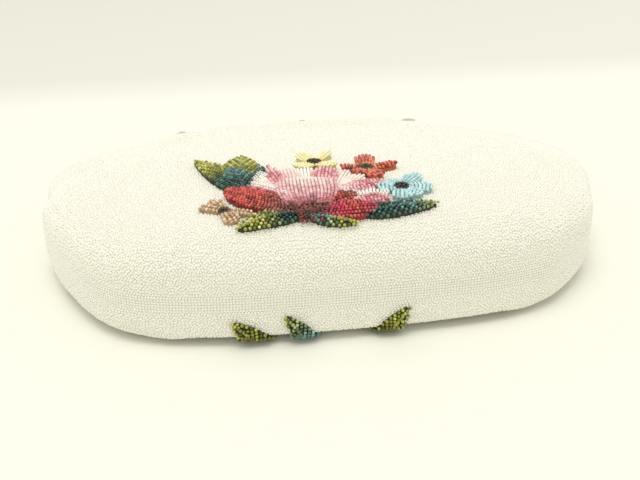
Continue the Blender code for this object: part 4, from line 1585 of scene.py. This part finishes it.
@dataclass(frozen=True)
class Petal:
    """A petal of strung rows that run from its root to its rounded tip, in millimetres."""

    root: Place
    tip: Place
    width: float
    colours: tuple[Colour, ...]
    lift: tuple[float, float, float] = (1.3, 2.1, 1.3)
    broad: float = 0.6
    root_share: float = 0.3
    bend: float = 0.0
    point: float = 2.0
    crown: float = 0.3
    edge_colour: Colour | None = None
    edge_side: int = 0
    wraps: bool = False
    # How dark the backing is against the beads: painted shade between the rows.
    backing_share: float = 0.85
    pad_end: float = 0.995
    pad_across: int = 9
    pad_sunk: float = 0.55

    @property
    def backing(self) -> Colour:
        """The colour of the cloth under the rows: the beads' mean colour darkened, which is painted
        shade in the gaps between the rows.
        """
        return tuple(np.mean(self.colours, axis=0) * self.backing_share)

    def settle(
        self, form: BagForm, side: Side, flat: np.ndarray, lift: np.ndarray
    ) -> tuple[np.ndarray, np.ndarray]:
        """Points over the fabric that the petal lies on, and their outward directions."""
        return form.wrapped(flat, lift) if self.wraps else form.spot(side, flat, lift)

    def spine(self, u: np.ndarray) -> tuple[np.ndarray, np.ndarray]:
        """Places along the middle and the directions to its left, in metres.

        Args:
            u: Shares of the length.

        Returns:
            The places and the unit directions.
        """
        a, b = np.array(self.root) * MM, np.array(self.tip) * MM
        along = b - a
        left = np.array([-along[1], along[0]]) / np.linalg.norm(along)
        path = a + u[:, None] * along + left * (self.bend * MM * np.sin(math.pi * u))[:, None]
        slope = along + left * (self.bend * MM * math.pi * np.cos(math.pi * u))[:, None]
        turned = np.column_stack([-slope[:, 1], slope[:, 0]])
        return path, unit(turned)

    def half_width(self, u: np.ndarray) -> np.ndarray:
        """Half the petal's width along it, in metres, before its tip is rounded."""
        rise = np.sin(math.pi / 2 * np.clip(u / self.broad, 0, 1))
        return self.width * MM / 2 * (self.root_share + (1 - self.root_share) * rise)

    def end(self, t: np.ndarray) -> np.ndarray:
        """How far along the rounded tip lets each row run."""
        rounded = np.maximum(1 - np.abs(t) ** self.point, 0) ** (1 / self.point)
        return self.broad + (1 - self.broad) * rounded

    def rise(self, u: np.ndarray, t: np.ndarray) -> np.ndarray:
        """The height over the fabric, in metres.

        Args:
            u: Shares of the length.
            t: Places across, from -1 to 1.

        Returns:
            A height for each pair.
        """
        low, mid, high = self.lift
        along = low * (1 - u) * (1 - 2 * u) + 4 * mid * u * (1 - u) + high * u * (2 * u - 1)
        return (along + self.crown * (1 - t**2)) * MM

    def paint(self, u: np.ndarray, t: float) -> np.ndarray:
        """The beads' colours along a row.

        Args:
            u: Shares of the length.
            t: The row's place across, from -1 to 1.

        Returns:
            A colour for each share.
        """
        stops = np.linspace(0, 1, len(self.colours))
        table = np.array(self.colours)
        rows = np.column_stack([np.interp(u, stops, table[:, i]) for i in range(3)])
        if self.edge_colour is not None:
            share = eased((t * self.edge_side if self.edge_side else abs(t)) * 2.2 - 1.1)
            share = (share * eased(u * 3 - 0.9))[:, None]
            rows = rows + (np.array(self.edge_colour) - rows) * share
        return rows

    def strands(self, side: Side, form: BagForm, pitch: float) -> list[Strand]:
        """The threads of the petal's rows.

        Args:
            side: The face that it lies on.
            form: The bag's form.
            pitch: From one row to the next.

        Returns:
            One thread for each row.
        """
        length = math.dist(self.root, self.tip) * MM
        count = max(2, round(self.width * MM / pitch))
        tightest = 0.8 * pitch
        made = []
        for i, t in enumerate(np.linspace(-1, 1, count) * (1 - 0.5 / count)):
            # Where the petal narrows, odd rows stop first and every fourth runs longest.
            step = 4 if i % 4 == 0 else 2 if i % 4 == 2 else 1
            u = np.linspace(0, float(self.end(np.array([t]))[0]), 40)
            crowd = self.half_width(u) * 2 / (count - 1) * step
            u = u[crowd > tightest]
            if len(u) < 4 or (u[-1] - u[0]) * length < pitch:
                continue
            path, left = self.spine(u)
            flat = path + left * (t * self.half_width(u))[:, None]
            points, outward = self.settle(form, side, flat, self.rise(u, np.full(len(u), t)))
            made.append(Strand(points, outward, self.paint(u, float(t))))
        return made

    def pad_half(self, u: np.ndarray) -> np.ndarray:
        """Half the backing's width along it, in metres.

        Args:
            u: Shares of the length.

        Returns:
            A half width for each share.
        """
        past = np.maximum(u - self.broad, 0) / (1 - self.broad)
        reach = np.maximum(1 - past**self.point, 0) ** (1 / self.point)
        return self.half_width(u) * np.maximum(reach, 0.05) * 0.96

    def pad(self, name: str, side: Side, form: BagForm) -> bpy.types.Mesh:
        """The thin backing under the rows.

        Args:
            name: The mesh's name.
            side: The face that it lies on.
            form: The bag's form.

        Returns:
            A closed body.
        """
        count, foot = self.pad_across, -0.4 * MM
        edge_drop, edge_power = 0.75, 6
        u = np.linspace(0.02, self.pad_end, 18)
        path, left = self.spine(u)
        half = self.pad_half(u)
        across = np.linspace(-1, 1, count)
        rings = []
        for k in range(len(u)):
            flat = path[k] + left[k] * (across * half[k])[:, None]
            level = self.rise(np.full(count, u[k]), across) - self.pad_sunk * MM
            level = level * (1 - edge_drop * np.abs(across) ** edge_power)
            top, _ = self.settle(form, side, flat, level)
            low, _ = self.settle(form, side, flat[::-1], np.full(count, foot))
            rings.append(form.placed(np.vstack([top, low])))
        return ring_body(name, rings)


@dataclass(frozen=True)
class Leaf(Petal):
    """A leaf whose rows slant from its midrib to its edge, in millimetres."""

    slant: float = 1.2
    row_gap: float = 1.08
    row_shades: tuple[float, float] = (1.2, 0.5)
    rib_lift: float = 0.35
    rib_shade: float = 0.7
    # Leaves get a very dark backing: painted shade between their rows.
    backing_share: float = 0.2
    pad_end: float = 0.98
    pad_across: int = 7
    pad_sunk: float = 0.6

    def half_width(self, u: np.ndarray) -> np.ndarray:
        """Half the leaf's width along it, in metres."""
        u = np.clip(u, 0, 1)
        return self.width * MM / 2 * np.sin(math.pi * u**0.85) ** 0.75

    def strands(self, side: Side, form: BagForm, pitch: float) -> list[Strand]:
        """The threads of the slanting rows and of the midrib.

        Args:
            side: The face that it lies on.
            form: The bag's form.
            pitch: From one bead to the next.

        Returns:
            One thread for each row, and one for the midrib.
        """
        length = math.dist(self.root, self.tip) * MM
        made = []
        sideways = self.width * MM / 2
        forward = sideways * self.slant
        spacing = self.row_gap * pitch * math.hypot(sideways, forward) / sideways / length
        s = np.linspace(0.05, 1.0, 26)
        first, last = 0.03 - forward / length, 0.96
        root, tip, overhang, shortest = 0.02, 0.985, 0.3 * MM, pitch * 0.9
        for hand in (-1, 1):
            starts = np.arange(first, last, spacing) + spacing * 0.25 * (hand + 1)
            for number, start in enumerate(starts):
                u = start + s * forward / length
                inside = s * sideways <= self.half_width(u) + overhang
                inside &= (u > root) & (u < tip)
                if inside.sum() < 4:
                    continue
                u, t = u[inside], hand * s[inside]
                path, left = self.spine(u)
                flat = path + left * (t * sideways)[:, None]
                if np.linalg.norm(flat[-1] - flat[0]) < shortest:
                    continue
                points, outward = self.settle(form, side, flat, self.rise(u, t))
                shade = self.row_shades[number % 2]
                made.append(Strand(points, outward, self.paint(u, float(hand)) * shade))
        u = np.linspace(0, 1, 40)
        path, _ = self.spine(u)
        level = self.rise(u, np.zeros(len(u))) + self.rib_lift * MM
        points, outward = self.settle(form, side, path, level)
        made.append(Strand(points, outward, self.paint(u, 0.0) * self.rib_shade))
        return made

    def pad_half(self, u: np.ndarray) -> np.ndarray:
        """Half the backing's width along the leaf, in metres."""
        return np.maximum(self.half_width(u), 0.3 * MM)


@dataclass(frozen=True)
class Motif:
    """One flower or leaf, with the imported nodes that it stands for."""

    name: str
    nodes: tuple[str, ...]
    slot: str
    petals: tuple[Petal, ...]
    heart: tuple[float, float, float, float] | None = None
    heart_colour: Colour = (0.03, 0.02, 0.015)

    def heart_strands(self, side: Side, form: BagForm, pitch: float) -> list[Strand]:
        """Rings of dark beads round the flower's middle.

        Args:
            side: The face that it lies on.
            form: The bag's form.
            pitch: From one bead to the next.

        Returns:
            One thread for each ring.
        """
        if self.heart is None:
            return []
        x, y, radius, lift = self.heart
        made = []
        for reach in np.arange(radius, 0.3, -pitch / MM * 0.95):
            turn = np.linspace(0, 2 * math.pi, 25)
            flat = np.column_stack([x + reach * np.cos(turn), y + reach * np.sin(turn)]) * MM
            level = (lift + 0.35 * (radius - reach)) * MM
            points, outward = form.spot(side, flat, np.full(25, level))
            made.append(Strand(points, outward, np.tile(self.heart_colour, (25, 1))))
        return made


def blossom(
    centre: Place,
    radius: float,
    colours: tuple[Colour, ...],
    turns: tuple[float, ...],
    widths: tuple[float, ...],
    reaches: tuple[float, ...],
    lift: tuple[float, float, float] = (1.3, 1.9, 1.2),
) -> tuple[Petal, ...]:
    """The petals of a small flower.

    Args:
        centre: Its middle, in millimetres.
        radius: Its reach.
        colours: From the root of a petal to its tip.
        turns: The direction of each petal, in degrees.
        widths: The width of each petal.
        reaches: The length of each petal as a share of the radius.
        lift: The height at a petal's root, middle and tip.

    Returns:
        The petals.
    """
    made = []
    for turn, width, reach in zip(turns, widths, reaches):
        c, s = math.cos(math.radians(turn)), math.sin(math.radians(turn))
        root = (centre[0] + c * radius * 0.12, centre[1] + s * radius * 0.12)
        tip = (centre[0] + c * radius * reach, centre[1] + s * radius * reach)
        made.append(Petal(root, tip, width, colours, lift, 0.66, 0.55))
    return tuple(made)


MAROON = (0.13, 0.022, 0.018)
BROWN_RED = (0.30, 0.085, 0.06)
RED = (0.62, 0.085, 0.06)
CRIMSON = (0.62, 0.05, 0.11)
ROSE = (0.88, 0.30, 0.33)
MAUVE = (0.76, 0.30, 0.35)
PINK = (0.96, 0.52, 0.51)
PALE_PINK = (0.99, 0.73, 0.66)
BLUSH = (0.99, 0.88, 0.76)
WHITE = (1.0, 0.99, 0.86)
YELLOW = (1.0, 0.83, 0.26)
PALE_YELLOW = (1.0, 0.94, 0.50)
CORAL = (0.74, 0.14, 0.09)
ORANGE = (0.78, 0.32, 0.09)
BLUE = (0.36, 0.64, 0.66)
PALE_BLUE = (0.56, 0.82, 0.82)
BRONZE = (0.46, 0.28, 0.13)
TAN = (0.80, 0.56, 0.34)
OLIVE = (0.24, 0.25, 0.022)
LIME = (0.50, 0.50, 0.095)
TEAL = (0.035, 0.11, 0.085)
PETROL = (0.12, 0.27, 0.23)


def front_rose() -> tuple[Petal, ...]:
    """The rose of the front, from its outer petals to the cup in its middle.

    Returns:
        Its petals.
    """
    low, mid, high = (0.9, 1.5, 1.4), (1.3, 2.0, 2.0), (1.8, 2.4, 2.4)
    return (
        Petal((-24, 45), (-35, 65), 9, (WHITE, WHITE, WHITE), low, 0.6, 0.5),
        Petal((-22, 40), (-40.5, 56), 12, (PALE_PINK, PALE_PINK, BLUSH, WHITE), low, 0.6, 0.5),
        Petal((-13, 42), (-11, 67), 10, (BLUSH, WHITE, WHITE), low, 0.6, 0.7),
        Petal((-19, 42), (-19, 65), 10, (PINK, PALE_PINK, BLUSH), mid, 0.6, 0.6),
        Petal((-23, 40), (-27.5, 69.5), 8, (PINK, ROSE, PINK), high, 0.45, 0.7, point=1.2),
        Petal((2, 38), (12.5, 52.5), 8, (PALE_PINK, WHITE), low, 0.6, 0.6),
        Petal((-2, 38), (6.5, 59), 10, (PALE_PINK, BLUSH, PALE_PINK), low, 0.6, 0.6),
        Petal((-7, 39), (-1.5, 64), 12, (MAUVE, PINK, ROSE, PINK), mid, 0.6, 0.6),
        Petal((-4, 31), (20, 30.5), 8, (WHITE, WHITE), low, 0.6, 0.6),
        Petal((-1, 36), (20, 41), 9.5, (PALE_PINK, PINK, ROSE, PINK), mid, 0.6, 0.5),
        Petal((2, 23.5), (19.5, 25.5), 8, (PINK, ROSE, PINK), mid, 0.6, 0.6),
        Petal(
            (-13, 17.5),
            (-47.5, 43.5),
            17.5,
            (MAROON, BROWN_RED, RED, RED),
            (1.4, 2.6, 1.9),
            0.62,
            0.4,
            bend=1.3,
            edge_colour=MAUVE,
            edge_side=-1,
        ),
        Petal((-20, 31), (-36.5, 48), 4.5, (WHITE, WHITE, BLUSH), (2.0, 2.6, 2.2), 0.6, 0.8),
        Petal((-11, 22.5), (5.5, 29.5), 8, (MAROON, RED, BROWN_RED), (2.0, 3.0, 2.6), 0.6, 0.5),
        Petal(
            (-12, 16.5),
            (12, 17.8),
            10.5,
            (MAROON, CRIMSON, RED, CRIMSON),
            (1.8, 2.8, 2.0),
            0.62,
            0.5,
        ),
        Petal(
            (-15.5, 12.5),
            (-13.5, 47.5),
            26,
            (MAROON, MAROON, BROWN_RED, MAUVE, PINK, PINK, PALE_PINK, BLUSH),
            (2.4, 3.4, 3.6),
            0.7,
            0.32,
            point=2.6,
            crown=-0.5,
            edge_colour=PINK,
        ),
    )


def front_motifs() -> tuple[Motif, ...]:
    """The rose, four small flowers and five leaves of the front.

    Returns:
        The motifs, in the order that they are made.
    """
    blooms = {
        "yellow": (
            blossom(
                (-5.6, 73.5),
                12,
                (YELLOW, PALE_YELLOW, PALE_YELLOW),
                (109, 218, 56, 318),
                (7.5, 7.5, 4, 7),
                (1.2, 0.98, 1.45, 0.98),
                (1.6, 2.2, 2.6),
            ),
            (-5.6, 73.3, 2.8, 2.6),
        ),
        "coral": (
            blossom(
                (16, 60),
                13,
                (ORANGE, CORAL, CORAL),
                (80, 8, 160, 285, 232),
                (9, 5.5, 4.5, 7.5, 6),
                (1.28, 1.15, 0.85, 1.1, 0.75),
                (1.6, 2.3, 2.6),
            ),
            (16.0, 60.0, 3.0, 2.6),
            (0.10, 0.06, 0.03),
        ),
        "blue": (
            blossom(
                (26.7, 34),
                12,
                (BLUE, PALE_BLUE, PALE_BLUE),
                (166, 50, 351, 258, 305, 120),
                (9, 8, 7, 8, 7, 6),
                (0.82, 1.28, 1.08, 0.9, 0.85, 0.7),
                (1.4, 2.0, 2.0),
            ),
            (26.7, 34.0, 2.7, 2.4),
        ),
        "bronze": (
            blossom(
                (-50, 25.5),
                10.5,
                (BRONZE, TAN, TAN),
                (153, 339, 113, 290),
                (3.6, 3.6, 6, 6.5),
                (1.1, 1.18, 1.05, 0.92),
                (1.1, 1.6, 1.2),
            ),
            (-50.0, 25.5, 1.9, 1.8),
            (0.12, 0.09, 0.07),
        ),
    }
    leaves = {
        "outer_left": (
            Leaf(
                (-44, 43.5), (-60, 86.5), 13.5, (TEAL, TEAL, OLIVE, LIME, LIME), bend=-3, slant=2.6
            ),
        ),
        "inner_left": (
            Leaf((-40, 46), (-31, 74.5), 10, (TEAL, TEAL, PETROL), (0.9, 1.5, 1.2), bend=-1),
            Leaf((-41, 52), (-38, 91), 16, (TEAL, OLIVE, LIME, LIME), slant=2.6),
            Leaf((-40.5, 44), (-44, 70), 11, (TEAL, TEAL, PETROL, PETROL), (2, 3, 2.2), slant=1.8),
        ),
        "lower_left": (Leaf((-16.5, 16.8), (-46, 12.2), 8.5, (TEAL, TEAL, LIME, LIME), bend=-2.2),),
        "lower_middle": (Leaf((-17, 15.3), (2.8, 10.4), 5.6, (TEAL, PETROL, LIME, LIME)),),
        "lower_right": (Leaf((4, 14), (38.5, 18.8), 7.5, (TEAL, TEAL, PETROL, LIME), bend=0.3),),
    }
    return (
        Motif("front_rose", ("rose_petals", "rose_heart"), "rose_beads", front_rose()),
        *(
            Motif(f"front_{word}_flower", (f"{word}_flower",), f"{word}_beads", *parts)
            for word, parts in blooms.items()
        ),
        *(
            Motif(f"front_{word}_leaf", (f"{word}_leaf",), "leaf_beads", blades)
            for word, blades in leaves.items()
        ),
    )


def back_motifs() -> tuple[Motif, ...]:
    """The rose, three small flowers and five leaves of the back.

    Returns:
        The motifs, in the order that they are made.
    """
    x, y = -6, 49.7
    rose = []
    for number, reach, width, lift, shift, colours in (
        (7, 21.0, 12.0, 0.9, 0.0, (BROWN_RED, RED, ROSE)),
        (6, 13.0, 9.0, 1.5, 0.5, (MAROON, MAUVE, PINK)),
    ):
        for i in range(number):
            turn = 2 * math.pi * (i + shift) / number
            across, up = math.cos(turn), math.sin(turn)
            root = (x + 0.1 * reach * across, y + 0.1 * reach * up)
            tip = (x + reach * across, y + reach * up)
            levels = (lift, lift + 0.35, lift - 0.1)
            rose.append(Petal(root, tip, width, colours, levels, 0.62, 0.3, crown=0.1))
    flat = (1.0, 1.3, 1.0)
    small = ((18, 90, 162, 234, 306), (8,) * 5, (1.0,) * 5)
    motifs = [Motif("back_rose", ("back_rose_petals",), "rose_beads", tuple(rose))]
    for word, *shape in (
        ("yellow", (27, 64.8), 11, (YELLOW, PALE_YELLOW)),
        ("coral", (-40, 58.1), 11.5, (ORANGE, CORAL)),
        ("blue", (28, 37.9), 11, (BLUE, PALE_BLUE)),
    ):
        name, node = f"back_{word}_bloom", f"back_{word}_flower"
        petals = blossom(*shape, *small, flat)
        motifs.append(Motif(name, (node,), f"{word}_beads", petals, (*shape[0], 2.6, 1.6)))
    # The leaves that wrap turn up over the base.
    for word, root, tip, width, colours, bend, wraps in (
        ("left", (-36, 44), (-50.5, 8.6), 13, (TEAL, TEAL, OLIVE, LIME), 6, True),
        ("middle", (-20, 44), (-28.6, 6.6), 11, (TEAL, TEAL, PETROL, LIME), 6, True),
        ("right", (12, 44), (23.5, 7), 12, (TEAL, TEAL, OLIVE, LIME), -5, True),
        ("upper_left", (-21, 72.4), (-39, 85), 11.5, (TEAL, OLIVE, LIME), 0, False),
        ("upper_right", (6, 73.2), (20, 88.3), 11.5, (TEAL, OLIVE, LIME), 0, False),
    ):
        name = f"back_{word}_leaf"
        blade = Leaf(root, tip, width, colours, flat, crown=0.1, bend=bend, wraps=wraps)
        motifs.append(Motif(name, (name,), "leaf_beads", (blade,)))
    return tuple(motifs)


@dataclass
class Spray:
    """The flowers and leaves that are sewn on one face."""

    side: Side
    form: BagForm
    beader: Beader
    finish: bpy.types.Material
    felt: bpy.types.Material
    motifs: tuple[Motif, ...]
    pitch: float = 0.00150

    def build(self) -> None:
        """Makes each motif's backing and beads, and lets them ride on the bag."""
        for number, motif in enumerate(self.motifs):
            strands = motif.heart_strands(self.side, self.form, self.pitch)
            for petal in motif.petals:
                strands += petal.strands(self.side, self.form, self.pitch)
            beads = self.beader.string(
                f"{motif.name}_beads", strands, self.finish, self.pitch, seed=20 + number
            )
            pads = [
                petal.pad(f"{motif.name}_pad_{i}", self.side, self.form)
                for i, petal in enumerate(motif.petals)
            ]
            backing = linked(
                f"{motif.name}_backing",
                joined(f"{motif.name}_backing", pads, [p.backing for p in motif.petals]),
            )
            backing.data.materials.append(self.felt)
            for made in (beads, backing):
                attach(made, "bag")
            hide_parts(*motif.nodes)


@dataclass
class Lining:
    """The satin inside of one half."""

    side: Side
    form: BagForm
    finish: bpy.types.Material
    inset: float = 0.0042
    thickness: float = 0.0008

    def build(self) -> bpy.types.Object:
        """The satin, a closed thin shell inside the beaded cloth.

        Returns:
            The satin.
        """
        insets = (self.inset, self.inset + self.thickness)
        name = f"{self.side.name.lower()}_satin"
        made = shell(name, self.form, self.side, (160, 48), insets)
        made.data.materials.append(self.finish)
        return made


@dataclass
class Handle:
    """The stiff bead-wound handle that is folded behind the bag."""

    form: BagForm
    beader: Beader
    beads: bpy.types.Material
    cloth: bpy.types.Material
    lug_height: float = 0.1715
    lug_z: float = 0.0225
    half_span: float = 0.06525
    reach: float = 0.0505
    drop: float = 0.0186
    start: float = 0.0083
    radius: float = 0.0038
    square_power: float = 2.7
    core_inset: float = 0.0011
    thread_inset: float = 0.0006
    winding: float = 0.00135
    winding_steps: int = 24
    bead_radius: float = 0.0007

    @property
    def droop(self) -> float:
        """The angle that the handle hangs down at."""
        return math.asin(self.drop / self.reach)

    def path(self, count: int) -> np.ndarray:
        """The handle's middle line in the bag's own frame.

        Args:
            count: How many points it gets.

        Returns:
            Rows of points.
        """
        turn = np.linspace(0, math.pi, 400)
        power = 2 / self.square_power
        across = np.sign(np.cos(turn)) * np.abs(np.cos(turn)) ** power * self.half_span
        along = self.start + (self.reach - self.start) * np.abs(np.sin(turn)) ** power
        line = np.column_stack(
            [
                across,
                self.lug_height + along * math.cos(self.droop),
                self.lug_z - along * math.sin(self.droop),
            ]
        )
        return respaced(line, count)

    def frames(self, path: np.ndarray) -> tuple[np.ndarray, np.ndarray]:
        """Two directions across the line at each point.

        Args:
            path: The middle line.

        Returns:
            The sideways and the upward unit vectors.
        """
        along = unit(np.gradient(path, axis=0))
        above = np.array([0.0, math.sin(self.droop), math.cos(self.droop)])
        side = unit(np.cross(along, above))
        return side, np.tile(above, (len(path), 1))

    def build(self) -> list[bpy.types.Object]:
        """The wound beads and the cloth-covered core.

        Returns:
            Both objects.
        """
        path = self.path(120)
        side, above = self.frames(path)
        turn = np.linspace(0, 2 * math.pi, 20, endpoint=False)[:, None]
        inner = self.radius - self.core_inset
        rings = [
            path[k] + (side[k] * np.cos(turn) + above[k] * np.sin(turn)) * inner
            for k in range(len(path))
        ]
        core = linked("handle_core", ring_body("handle_core", [self.form.placed(r) for r in rings]))
        core.data.materials.append(self.cloth)
        turns = run_along(path)[-1] / self.winding
        count = int(turns * self.winding_steps)
        at = np.linspace(0, len(path) - 1, count)
        steps = np.arange(len(path))
        middle, s, a = (
            np.column_stack([np.interp(at, steps, rows[:, i]) for i in range(3)])
            for rows in (path, side, above)
        )
        angle = np.linspace(0, turns * 2 * math.pi, count)[:, None]
        outward = unit(s * np.cos(angle) + a * np.sin(angle))
        wound = middle + outward * (self.radius - self.thread_inset)
        thread = Strand(wound, outward, np.ones((count, 3)))
        beads = self.beader.string(
            "handle_beads", [thread], self.beads, self.winding, self.bead_radius, 0.9, 6, 9
        )
        for made in (beads, core):
            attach(made, "handle")
        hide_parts("handle_grip")
        return [beads, core]


@dataclass
class Clasp:
    """The kiss lock: two polished balls that snap past each other on leaning stems."""

    form: BagForm
    finish: bpy.types.Material
    ball_radius: float = 0.0036
    spacing: float = 0.0078
    rise: float = 0.0058
    cross: float = 0.0005
    bar_offset: float = 0.0025
    stem_radius: float = 0.0013
    collar_radius: float = 0.0021
    collar_height: float = 0.0007
    gap: float = 0.0003
    around: int = 40

    def _profile(self) -> list[tuple[float, float]]:
        """The stem's heights over the frame and radii, from the rounded collar up.

        Returns:
            Pairs of height and radius.
        """
        collar, stem = self.collar_radius, self.stem_radius
        top = self.collar_height
        return [
            (0.0, collar * 0.92),
            (top * 0.15, collar),
            (top * 0.75, collar),
            (top, collar * 0.86),
            (top * 1.3, stem * 1.12),
            (top * 1.8, stem),
            (self.rise - self.gap - self.ball_radius * 1.02, stem),
        ]

    def knob(self, side: Side) -> bpy.types.Object:
        """One ball on its stem.

        Args:
            side: The half of the frame that it stands on.

        Returns:
            The turned body.
        """
        across = -side.value * self.spacing / 2
        foot = np.array([across, self.form.height + self.gap, self.form.seam])
        ball = foot + (0.0, self.rise - self.gap, -side.value * self.cross)
        foot = foot + (0.0, 0.0, side.value * self.bar_offset)
        turn = np.linspace(0, 2 * math.pi, self.around, endpoint=False)
        spread = np.column_stack([np.sin(turn), np.zeros(self.around), np.cos(turn)])
        rings = []
        for height, radius in self._profile():
            lean = eased(np.array((height - self.collar_height) / (self.rise - self.ball_radius)))
            middle = foot + (0.0, height, float(lean) * (ball[2] - foot[2]))
            rings.append(middle + spread * radius)
        first = math.asin(self.stem_radius / self.ball_radius) + 0.06
        for angle in np.linspace(first, math.pi, 20)[:-1]:
            middle = ball - (0.0, self.ball_radius * math.cos(angle), 0.0)
            rings.append(middle + spread * self.ball_radius * math.sin(angle))
        rings.append(ball + (0.0, self.ball_radius, 0.0))
        name = f"{side.name.lower()}_clasp_ball"
        made = linked(name, ring_body(name, [self.form.placed(np.atleast_2d(r)) for r in rings]))
        made.data.materials.append(self.finish)
        return made

    def build(self) -> None:
        """Makes both, each riding on its half."""
        for side, body, node in (
            (Side.FRONT, "front_half", "front_clasp_knob"),
            (Side.BACK, "bag", "rear_clasp_knob"),
        ):
            made = self.knob(side)
            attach(made, body)
            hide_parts(node)


@dataclass
class Studio:
    """The table, the light and the camera."""

    aim: tuple[float, float, float] = (0.0, -0.02911, 0.020)
    elevation: float = 27.1
    azimuth: float = -8.93
    distance: float = 0.460
    focal_pixels: float = 944.0
    lowered: float = 32.0
    shifted: float = 2.8
    sensor: float = 36.0
    picture_width: float = 640.0
    table_reach: float = 6.0
    lamp_power: float = 1.15
    lamp_spread: float = 34.0
    lamp_from: tuple[float, float, float] = (-0.10, -0.14, 1.0)
    lamp_colour: Colour = (1.0, 0.985, 0.955)
    sky_power: float = 0.73
    sky_colour: Colour = (1.0, 0.99, 0.97)
    backdrop_colour: Colour = (1.0, 0.99, 0.94)

    def build(self) -> None:
        """Sets all three."""
        self._table()
        self._light()
        self._camera()

    def _table(self) -> None:
        """A wide pale surface."""
        mesh = bpy.data.meshes.new("table")
        reach = self.table_reach
        corners = [(-reach, -reach, 0), (reach, -reach, 0), (reach, reach, 0), (-reach, reach, 0)]
        mesh.from_pydata(corners, [], [(0, 1, 2, 3)])
        mesh.materials.append(TableTop().make())
        linked("table", mesh)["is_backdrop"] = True

    def _light(self) -> None:
        """A soft lamp above and an even sky."""
        lamp = bpy.data.lights.new("soft_lamp", "SUN")
        lamp.energy = self.lamp_power
        lamp.angle = math.radians(self.lamp_spread)
        lamp.color = self.lamp_colour
        made = bpy.data.objects.new("soft_lamp", lamp)
        made.rotation_euler = Vector(self.lamp_from).to_track_quat("Z", "Y").to_euler()
        bpy.context.scene.collection.objects.link(made)
        world = bpy.data.worlds.new("studio")
        bpy.context.scene.world = world
        world.use_nodes = True
        graph = Graph(world.node_tree)
        sky = world.node_tree.nodes["Background"]
        sky.inputs[0].default_value = (*self.sky_colour, 1.0)
        sky.inputs[1].default_value = self.sky_power
        colour = (*self.backdrop_colour, 1.0)
        backdrop = graph.add("ShaderNodeBackground", {}, {0: colour, 1: 1.0})
        rays = graph.add("ShaderNodeLightPath")
        seen = graph.term(rays, "Is Camera Ray") + graph.term(rays, "Is Glossy Ray")
        seen = (seen + graph.term(rays, "Is Transmission Ray")).kept()
        mixed = graph.add(
            "ShaderNodeMixShader", {}, {0: seen, 1: sky.outputs[0], 2: backdrop.outputs[0]}
        )
        graph.tree.links.new(mixed.outputs[0], graph.tree.nodes["World Output"].inputs[0])

    def _camera(self) -> None:
        """The camera at the photograph's angle."""
        e, a = math.radians(self.elevation), math.radians(self.azimuth)
        back = Vector((math.sin(a) * math.cos(e), -math.cos(a) * math.cos(e), math.sin(e)))
        right = Vector((0, 0, 1)).cross(back).normalized()
        up = back.cross(right)
        eye = Vector(self.aim) + back * self.distance
        per_pixel = self.distance / self.focal_pixels
        target = Vector(self.aim) - up * self.lowered * per_pixel - right * self.shifted * per_pixel
        data = bpy.data.cameras.new("camera")
        data.sensor_width = self.sensor
        data.lens = self.focal_pixels * self.sensor / self.picture_width
        data.clip_start, data.clip_end = 0.01, 50.0
        camera = bpy.data.objects.new("camera", data)
        camera.location = eye
        camera.rotation_euler = (eye - target).to_track_quat("Z", "Y").to_euler()
        bpy.context.scene.collection.objects.link(camera)
        bpy.context.scene.camera = camera


def dress_nodes(
    nodes: dict[str, bpy.types.Object], words: tuple[str, ...], finish: bpy.types.Material
) -> None:
    """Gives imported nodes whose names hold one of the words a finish.

    Args:
        nodes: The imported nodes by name.
        words: Parts of names.
        finish: What they get.
    """
    for name, node in nodes.items():
        if any(word in name for word in words):
            node.data.materials.clear()
            node.data.materials.append(finish)


def main() -> None:
    """Builds the handbag and its studio."""
    logging.basicConfig(level=logging.INFO, format="%(name)s %(message)s")
    bpy.context.scene.view_settings.view_transform = "Standard"
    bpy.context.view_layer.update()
    Studio().build()
    form = BagForm(base_y=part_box("front_panel")[0].y)
    beader = Beader(form)
    cream = GlassBead("cream_beads").make()
    painted = PaintedBead("painted_beads").make()
    cloth = WovenCloth("ground_cloth").make()
    satin = Satin("ivory_satin").make()
    metal = Plate("silver_plate").make()
    paper = TwistedPaper("paper_twist").make()

    for side in Side:
        face = BeadedFace(side, form, beader, cream, cloth)
        cloth_shell = face.build_cloth()
        bands = face.build_beads()
        rows = face.build_rows()
        lining = Lining(side, form, satin).build()
        if side is Side.FRONT:
            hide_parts("front_panel", "front_fold", "front_yoke")
            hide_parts("front_lining", "front_interlining")
            for piece in [cloth_shell, rows, lining, bands[-1]]:
                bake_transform(piece)
            for piece in bands[:-1]:
                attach(piece, "bag")
        else:
            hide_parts("back_panel")
            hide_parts("back_lining", "back_interlining")
            for piece in [cloth_shell, rows, lining, *bands]:
                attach(piece, "bag")

    felt = PaddingCloth("felt_and_gap_shade").make()
    Spray(Side.FRONT, form, beader, painted, felt, front_motifs()).build()
    Spray(Side.BACK, form, beader, painted, felt, back_motifs()).build()
    Handle(form, beader, cream, cloth).build()
    Clasp(form, metal).build()
    dress_nodes(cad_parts, ("frame", "cap", "pin", "knob"), metal)
    dress_nodes(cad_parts, ("cord",), paper)
    dress_nodes(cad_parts, ("pocket",), satin)

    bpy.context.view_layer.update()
    counts = {o.name: triangles(o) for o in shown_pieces() if o.type == "MESH"}
    for name, count in counts.items():
        LOG.info("%s: %d triangles", name, count)
    LOG.info("whole object: %d triangles", sum(counts.values()))


if __name__ == "__main__":
    main()
